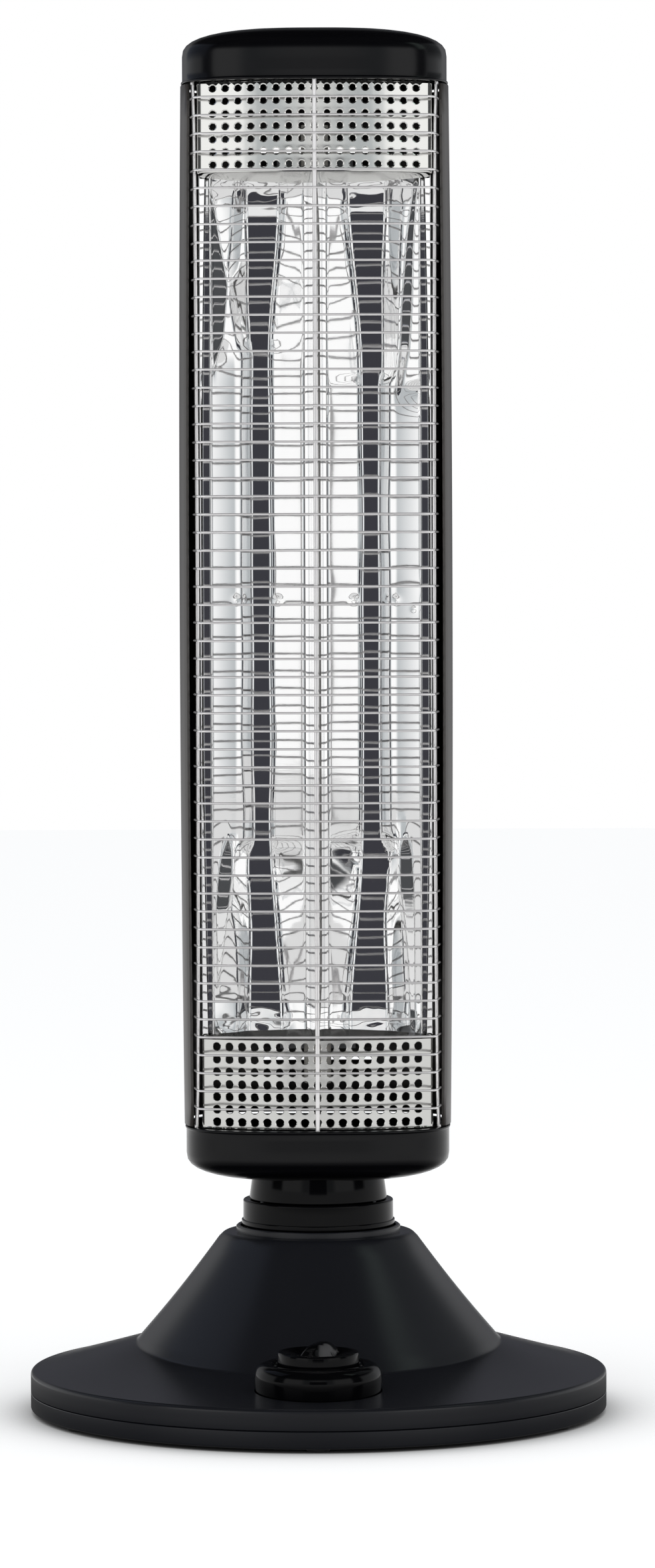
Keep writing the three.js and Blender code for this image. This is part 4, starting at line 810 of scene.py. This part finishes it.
node(quartz, "ShaderNodeOutputMaterial", Surface=thin_wall.outputs[0])
LAMP_Y = NECK_Y - 20
TUBE = (3.5, 4.0)
TUBE_ENDS = (175.6, 655)
tube_profile = [(TUBE[0], TUBE_ENDS[0]), (TUBE[1], TUBE_ENDS[0]),
                (TUBE[1], TUBE_ENDS[1]), (TUBE[0], TUBE_ENDS[1])]
tube = lathe("quartz_tube", tube_profile, 0, LAMP_Y, sides=64)
finished("quartz_tube", tube, "head", lamp_glass, "quartz_glass", "quartz_tube")
# Wound carbon fibre: dull dark grey with a fine roughness along it
carbon = coat("carbon strand", "#565452", 0.5, bump=(0.8, 0.1, 1))
STRAND = 0.62
SLACK = 1.9


def rod_rings(line, radius, sides):
    """Level rings round an upright line of points."""
    turns = [math.tau * k / sides for k in range(sides)]
    around = [(radius * math.cos(t), radius * math.sin(t)) for t in turns]
    return [[(x + dx, y + dy, z) for dx, dy in around] for x, y, z in line]


strand_line = []
for z in [168.5, 176, *(184 + 7 * k for k in range(67)), 656, 662]:
    slack = SLACK * smooth_step(176, 230, z) * (1 - smooth_step(600, 655, z))
    strand_line.append((slack, LAMP_Y + 1.2 * slack / SLACK, z))
strand = loft("heating_strand", rod_rings(strand_line, STRAND, 12), capped=True)
finished("heating_strand", strand, "head", carbon, "carbon_fibre", "heating_strand")

# VENT COVERS: polished stainless sheet punched in a square grid, bowed a little forwards, its sides
# turned back. At the reflector's end it folds into a plain shelf that slants back to the reflector.
# Stainless sheet, brushed and then polished: bright, with reflections spread by faint waves
stainless = polished("polished stainless sheet", "#e2e2df", 0.12, (9, 13), 0.07)
PITCH = 6.5
HOLE = 2.0
HOLE_RIM = 0.32
HOLE_SINK = 0.2
BOW = 140
COVER_FRONT = -40
COVER_SHEET = 0.8
COVER_ROWS = 7
COVER_COLUMNS = 17
FIRST_ROW = 3.5


def tree_of(name, *inputs):
    """A geometry tree with named inputs."""
    made = bpy.data.node_groups.new(name, "GeometryNodeTree")
    made.interface.new_socket("Geometry", in_out="INPUT", socket_type="NodeSocketGeometry")
    for title, kind in inputs:
        made.interface.new_socket(title, in_out="INPUT", socket_type=kind)
    made.interface.new_socket("Geometry", in_out="OUTPUT", socket_type="NodeSocketGeometry")
    return made


def grown(name, tree, source, **values):
    """The mesh that a tree grows from a source object; values are the tree's inputs by name."""
    host = bpy.data.objects.new(name, source)
    bpy.context.scene.collection.objects.link(host)
    grow = host.modifiers.new("grow", "NODES")
    grow.node_group = tree
    for item in tree.interface.items_tree:
        title = item.name.replace(" ", "_")
        if item.in_out == "INPUT" and title in values:
            grow[item.identifier] = values[title]
    return worked(host, name)


def bow(x):
    """Depth of the cover's front at a distance from its middle."""
    return COVER_FRONT + BOW - math.sqrt(BOW ** 2 - x ** 2)


CELL_TURNS = [math.tau * (k + 0.5) / 24 for k in range(24)]
CELL_STEPS = [-PITCH / 2, *sorted(PITCH / 2 / math.tan(t) for t in CELL_TURNS if math.sin(t) > 0.71),
              PITCH / 2]
cell_points, cell_faces = [], []
for t in CELL_TURNS:
    c, s = math.cos(t), math.sin(t)
    reach = PITCH / 2 / max(abs(c), abs(s))
    cell_points.append((HOLE * c, HOLE_SINK, HOLE * s))
    cell_points += [(radius * c, 0, radius * s) for radius in (HOLE + HOLE_RIM, reach)]
for k in range(24):
    j = (k + 1) % 24
    cell_faces += [(3 * k, 3 * k + 1, 3 * j + 1, 3 * j), (3 * k + 1, 3 * k + 2, 3 * j + 2, 3 * j + 1)]
for k in (2, 8, 14, 20):
    c, s = cell_points[3 * k + 2][0], cell_points[3 * k + 2][2]
    cell_points.append((math.copysign(PITCH / 2, c), 0, math.copysign(PITCH / 2, s)))
    cell_faces.append((3 * k + 2, 3 * k + 5, len(cell_points) - 1))
cell = stand("cell", mesh_of("cell", cell_points, cell_faces))

punch_tree = tree_of("punched_sheet", ("Cell", "NodeSocketObject"), ("Columns", "NodeSocketInt"),
                     ("Rows", "NodeSocketInt"), ("Pitch", "NodeSocketFloat"), ("Middle", "NodeSocketVector"),
                     ("Bow", "NodeSocketFloat"), ("Finish", "NodeSocketMaterial"))
given = node(punch_tree, "NodeGroupInput")
spans = []
for title in ("Columns", "Rows"):
    gaps = node(punch_tree, "ShaderNodeMath", {"operation": "SUBTRACT"}, i0=given.outputs[title], i1=1.0)
    spans.append(node(punch_tree, "ShaderNodeMath", {"operation": "MULTIPLY"}, i0=gaps.outputs[0],
                      i1=given.outputs["Pitch"]).outputs[0])
grid = node(punch_tree, "GeometryNodeMeshGrid", Size_X=spans[0], Size_Y=spans[1],
            Vertices_X=given.outputs["Columns"], Vertices_Y=given.outputs["Rows"])
upright = node(punch_tree, "GeometryNodeTransform", Geometry=grid.outputs["Mesh"],
               Translation=given.outputs["Middle"], Rotation=(math.pi / 2, 0, 0))
master = node(punch_tree, "GeometryNodeObjectInfo", Object=given.outputs["Cell"])
holes = node(punch_tree, "GeometryNodeInstanceOnPoints", Points=upright.outputs[0],
             Instance=master.outputs["Geometry"])
whole = node(punch_tree, "GeometryNodeRealizeInstances", Geometry=holes.outputs[0])
place = node(punch_tree, "GeometryNodeInputPosition")
parts = node(punch_tree, "ShaderNodeSeparateXYZ", Vector=place.outputs[0])
squares = []
for side in (given.outputs["Bow"], parts.outputs["X"]):
    squares.append(node(punch_tree, "ShaderNodeMath", {"operation": "MULTIPLY"}, i0=side, i1=side).outputs[0])
left_over = node(punch_tree, "ShaderNodeMath", {"operation": "SUBTRACT"}, i0=squares[0], i1=squares[1])
chord = node(punch_tree, "ShaderNodeMath", {"operation": "SQRT"}, i0=left_over.outputs[0])
sag = node(punch_tree, "ShaderNodeMath", {"operation": "SUBTRACT"},
           i0=given.outputs["Bow"], i1=chord.outputs[0])
back = node(punch_tree, "ShaderNodeCombineXYZ", Y=sag.outputs[0])
bowed = node(punch_tree, "GeometryNodeSetPosition", Geometry=whole.outputs[0], Offset=back.outputs[0])
folds = node(punch_tree, "GeometryNodeJoinGeometry")
punch_tree.links.new(given.outputs["Geometry"], folds.inputs[0])
punch_tree.links.new(bowed.outputs[0], folds.inputs[0])
merged = node(punch_tree, "GeometryNodeMergeByDistance", Geometry=folds.outputs[0], Distance=0.01 * MM)
painted = node(punch_tree, "GeometryNodeSetMaterial", Geometry=merged.outputs[0],
               Material=given.outputs["Finish"])
node(punch_tree, "NodeGroupOutput", Geometry=painted.outputs[0])


def cover_folds(name, mate, away):
    """A cover's plain parts: margins along both ends of the punched field, sides turned back and shelf."""
    half = COVER_COLUMNS / 2
    steps = [(column - (half - 0.5)) * PITCH + x for column in range(COVER_COLUMNS) for x in CELL_STEPS[:-1]]
    steps += [half * PITCH]
    down = [FIRST_ROW + row * PITCH + z for row in range(COVER_ROWS) for z in CELL_STEPS[:-1]]
    down += [FIRST_ROW + (COVER_ROWS - 0.5) * PITCH]
    turn_y = bow(58.7)
    side = [(55.25, bow(55.25)), (56.6, bow(56.6)), (57.9, bow(57.9)), (58.7, turn_y + 0.25),
            (59.3, turn_y + 0.8), (59.65, turn_y + 1.6), (59.75, turn_y + 2.6), (59.75, -19)]
    points, faces = [], []

    def strip(line_a, line_b):
        first = len(points)
        points.extend(line_a + line_b)
        count = len(line_a)
        for i in range(first, first + count - 1):
            faces.append((i, i + 1, count + i + 1, count + i))

    front = [(x, bow(x)) for x in steps]
    fold = down[-1] + 0.3
    for high, low in ((0.3, down[0]), (down[-1], fold)):
        strip([(x, y, high) for x, y in front], [(x, y, low) for x, y in front])
    lines = [0.3, *down, fold]
    for sign in (-1, 1):
        for (xa, ya), (xb, yb) in zip(side, side[1:]):
            strip([(sign * xa, ya, z) for z in lines], [(sign * xb, yb, z) for z in lines])
    across_all = [(-x, y) for x, y in reversed(side[1:6])] + front + side[1:6]
    turned = [(x, y + 0.5, fold + 0.25) for x, y in across_all]
    strip([(x, y, fold) for x, y in across_all], turned)
    deep = []
    for x, y in across_all:
        notch = max(0, 4.6 ** 2 - x ** 2) ** 0.5
        deep.append((x * 0.985, min(-20.6, -20 - notch), fold + 0.25 + 4.3 * min(1, (-20.6 - y) / 19)))
    strip(turned, deep)
    return mesh_of(name, [(x, NECK_Y + y, mate - away * z) for x, y, z in points], faces)


for name, mate, away in (("vent_cover_top", TOP_MATE, 1), ("vent_cover_bottom", BOTTOM_MATE, -1)):
    middle = mate - away * (FIRST_ROW + (COVER_ROWS - 1) / 2 * PITCH)
    flat = grown(name, punch_tree, cover_folds(name, mate, away), Cell=cell, Columns=COVER_COLUMNS,
                 Rows=COVER_ROWS, Pitch=PITCH * MM, Middle=(0, (NECK_Y + COVER_FRONT) * MM, middle * MM),
                 Bow=BOW * MM, Finish=stainless)
    even = bmesh.new()
    even.from_mesh(flat)
    bmesh.ops.recalc_face_normals(even, faces=even.faces)
    even.to_mesh(flat)
    even.free()
    walled = thickened(flat, COVER_SHEET, -1)
    walled.shade_smooth()
    walled.set_sharp_from_angle(angle=math.radians(22))
    finished(name, walled, "head", stainless, "polished_steel", name)
bpy.data.objects.remove(cell)

# WIRE GUARD: bright chrome wires, each bent back at both sides, spot-welded in front of three upright
# rods. The guard is a little wider at its ends than at mid-height.
# Chrome plate on drawn steel wire: bright, and white rather than black where it is seen edge-on
chrome = coat("bright chrome wire", "#f0eeee", 0.07, metallic=0.68)


def curve_line(name, points):
    """A plain curve through points in millimetres, as the master that a tree repeats."""
    data = bpy.data.curves.new(name, "CURVE")
    data.dimensions = "3D"
    spline = data.splines.new("POLY")
    spline.points.add(len(points) - 1)
    for place, (x, y, z) in zip(spline.points, points):
        place.co = (x * MM, y * MM, z * MM, 1)
    made = bpy.data.objects.new(name, data)
    bpy.context.scene.collection.objects.link(made)
    return made


def rounded_line(points, radii, steps):
    """A line of (x, y) points with its corners rounded."""
    made = [points[0]]
    for i in range(1, len(points) - 1):
        here, before, after = (Vector(points[k]) for k in (i, i - 1, i + 1))
        into = (here - before).normalized()
        out = (after - here).normalized()
        bend = into.angle(out)
        room = 0.45 * min((here - before).length, (after - here).length)
        reach = min(radii[i] * math.tan(bend / 2), room)
        start, end = here - into * reach, here + out * reach
        for k in range(steps + 1):
            t = k / steps
            made.append(tuple((1 - t) ** 2 * start + 2 * t * (1 - t) * here + t ** 2 * end))
    made.append(points[-1])
    return made


WIRE = 0.6
WIRES, FIRST_WIRE, LAST_WIRE = 57, 156.4, 675.2
GUARD_BOW = 1.0
GUARD_HALF = 60
wire_half = [(0, -47.5), (20, -47.1), (40, -46), (60.1, -43.7), (62.9, -25.4)]
wire_bends = [0, 0, 0, 5.5, 0]
wire_line = rounded_line(wire_half, wire_bends, 7)
wire_line = [(-x, y) for x, y in reversed(wire_line[1:])] + wire_line
wire_master = curve_line("wire", [(x, NECK_Y + y, 0) for x, y in wire_line])

guard_lengths = [(title, "NodeSocketFloat") for title in ("First", "Last", "Radius", "Bow", "Middle", "Half")]
guard_tree = tree_of("guard", ("Wire", "NodeSocketObject"), ("Count", "NodeSocketInt"), *guard_lengths,
                     ("Finish", "NodeSocketMaterial"))
given = node(guard_tree, "NodeGroupInput")
low_point = node(guard_tree, "ShaderNodeCombineXYZ", Z=given.outputs["First"])
high_point = node(guard_tree, "ShaderNodeCombineXYZ", Z=given.outputs["Last"])
column = node(guard_tree, "GeometryNodeMeshLine", {"mode": "END_POINTS"}, Count=given.outputs["Count"],
              Start_Location=low_point.outputs[0], Offset=high_point.outputs[0])
master = node(guard_tree, "GeometryNodeObjectInfo", Object=given.outputs["Wire"])
copies = node(guard_tree, "GeometryNodeInstanceOnPoints", Points=column.outputs[0],
              Instance=master.outputs["Geometry"])
real = node(guard_tree, "GeometryNodeRealizeInstances", Geometry=copies.outputs[0])
place = node(guard_tree, "GeometryNodeInputPosition")
parts = node(guard_tree, "ShaderNodeSeparateXYZ", Vector=place.outputs[0])
above = node(guard_tree, "ShaderNodeMath", {"operation": "SUBTRACT"},
             i0=parts.outputs["Z"], i1=given.outputs["Middle"])
share = node(guard_tree, "ShaderNodeMath", {"operation": "DIVIDE"},
             i0=above.outputs[0], i1=given.outputs["Half"])
square = node(guard_tree, "ShaderNodeMath", {"operation": "MULTIPLY"},
              i0=share.outputs[0], i1=share.outputs[0])
wider = node(guard_tree, "ShaderNodeMath", {"operation": "MULTIPLY"},
             i0=square.outputs[0], i1=given.outputs["Bow"])
sideways = node(guard_tree, "ShaderNodeMapRange", {"clamp": True}, Value=parts.outputs["X"],
                From_Min=-GUARD_HALF * MM, From_Max=GUARD_HALF * MM, To_Min=-1.0, To_Max=1.0)
shift = node(guard_tree, "ShaderNodeMath", {"operation": "MULTIPLY"},
             i0=wider.outputs[0], i1=sideways.outputs[0])
offset = node(guard_tree, "ShaderNodeCombineXYZ", X=shift.outputs[0])
moved = node(guard_tree, "GeometryNodeSetPosition", Geometry=real.outputs[0], Offset=offset.outputs[0])
circle = node(guard_tree, "GeometryNodeCurvePrimitiveCircle", Resolution=12, Radius=given.outputs["Radius"])
drawn = node(guard_tree, "GeometryNodeCurveToMesh", Curve=moved.outputs[0],
             Profile_Curve=circle.outputs[0], Fill_Caps=True)
smooth = node(guard_tree, "GeometryNodeSetShadeSmooth", Geometry=drawn.outputs[0])
again = node(guard_tree, "GeometryNodeRealizeInstances", Geometry=smooth.outputs[0])
painted = node(guard_tree, "GeometryNodeSetMaterial", Geometry=again.outputs[0],
               Material=given.outputs["Finish"])
node(guard_tree, "NodeGroupOutput", Geometry=painted.outputs[0])
nothing = bpy.data.meshes.new("nothing")
wires = grown("wires", guard_tree, nothing, Wire=wire_master, Count=WIRES, First=FIRST_WIRE * MM,
              Last=LAST_WIRE * MM, Radius=WIRE * MM, Bow=GUARD_BOW * MM, Middle=HEAD_MIDDLE * MM,
              Half=HEAD_HALF * MM, Finish=chrome)
bpy.data.objects.remove(wire_master)
ROD_ENDS = (143.2, 685.8)
SIDE_ROD, SIDE_ROD_PLACE = 1.0, (61.25, -24)
FRONT_ROD, FRONT_ROD_Y = 1.15, -45.8
ROD_FLARE = 0.6


def guard_width(z):
    """How much wider than at mid-height the rods stand, which also lean out at the caps."""
    share = abs((z - HEAD_MIDDLE) / HEAD_HALF)
    return GUARD_BOW * share ** 2 + ROD_FLARE * smooth_step(0.93, 1, share)


heights = [ROD_ENDS[0] + (ROD_ENDS[1] - ROD_ENDS[0]) * k / 48 for k in range(49)]
rod_x, rod_y = SIDE_ROD_PLACE
rod_lines = []
for side in (-1, 1):
    rod_lines.append(([(side * (rod_x + guard_width(z)), NECK_Y + rod_y, z) for z in heights], SIDE_ROD))
rod_lines.append(([(0, NECK_Y + FRONT_ROD_Y, z) for z in heights], FRONT_ROD))
rods = [loft("rod", rod_rings(line, radius, 16), capped=True, crease=60) for line, radius in rod_lines]
guard = bmesh.new()
for part in (wires, *rods):
    guard.from_mesh(part)
guard_mesh = bpy.data.meshes.new("wire_guard")
guard.to_mesh(guard_mesh)
guard.free()
guard_mesh.shade_smooth()
guard_mesh.set_sharp_from_angle(angle=math.radians(60))
finished("wire_guard", guard_mesh, "head", chrome, "chrome_wire", "wire_guard")

# FEET: round rubber pads pushed through the tray.
# Moulded rubber: dull and almost black
rubber = coat("black rubber", "#161616", 0.6)
foot_profile = [(1e-4, 0), (5.2, 0), *arc(5.25, 0.5, 0.5, -80, 0, 3), (5.75, 1.5), (2.2, 1.5), (2.2, 4.6),
                (3.2, 4.6), (2.2, 6), (1e-4, 6)]
for number, angle in enumerate(FOOT_ANGLES, 1):
    name = f"foot_{number}"
    x, y = (FOOT_CIRCLE * way(math.radians(angle)) for way in (math.cos, math.sin))
    finished(name, lathe(name, foot_profile, x, y, sides=32), "base", rubber, "rubber", name)

# INSIDE: what shows only through the holes and slots keeps its plain shape and gets its finish. Fired
# ceramic and nylon are off-white and matt, the plastics dull black, and the iron dark with a dull shine.
finishes = {"porcelain": coat("white unglazed ceramic", "#e6e2da", 0.55),
            "white_nylon": coat("natural nylon", "#d9d5c8", 0.45),
            "dark_plastic": coat("dark moulded plastic", "#202124", 0.5),
            "ballast_iron": coat("dull dark iron", "#46484a", 0.6, metallic=1.0),
            "cable_sheath": coat("sleeved wiring", "#1d1d1f", 0.55),
            "plated_steel": plated,
            "rubber": rubber}
slots = {part["node"]: part["material_slot"] for part in frame["record"]["subparts"]}
for name, part in frame["nodes"].items():
    finish = finishes.get(slots[name])
    if finish and not part.hide_render:
        for place in part.material_slots:
            place.material = finish
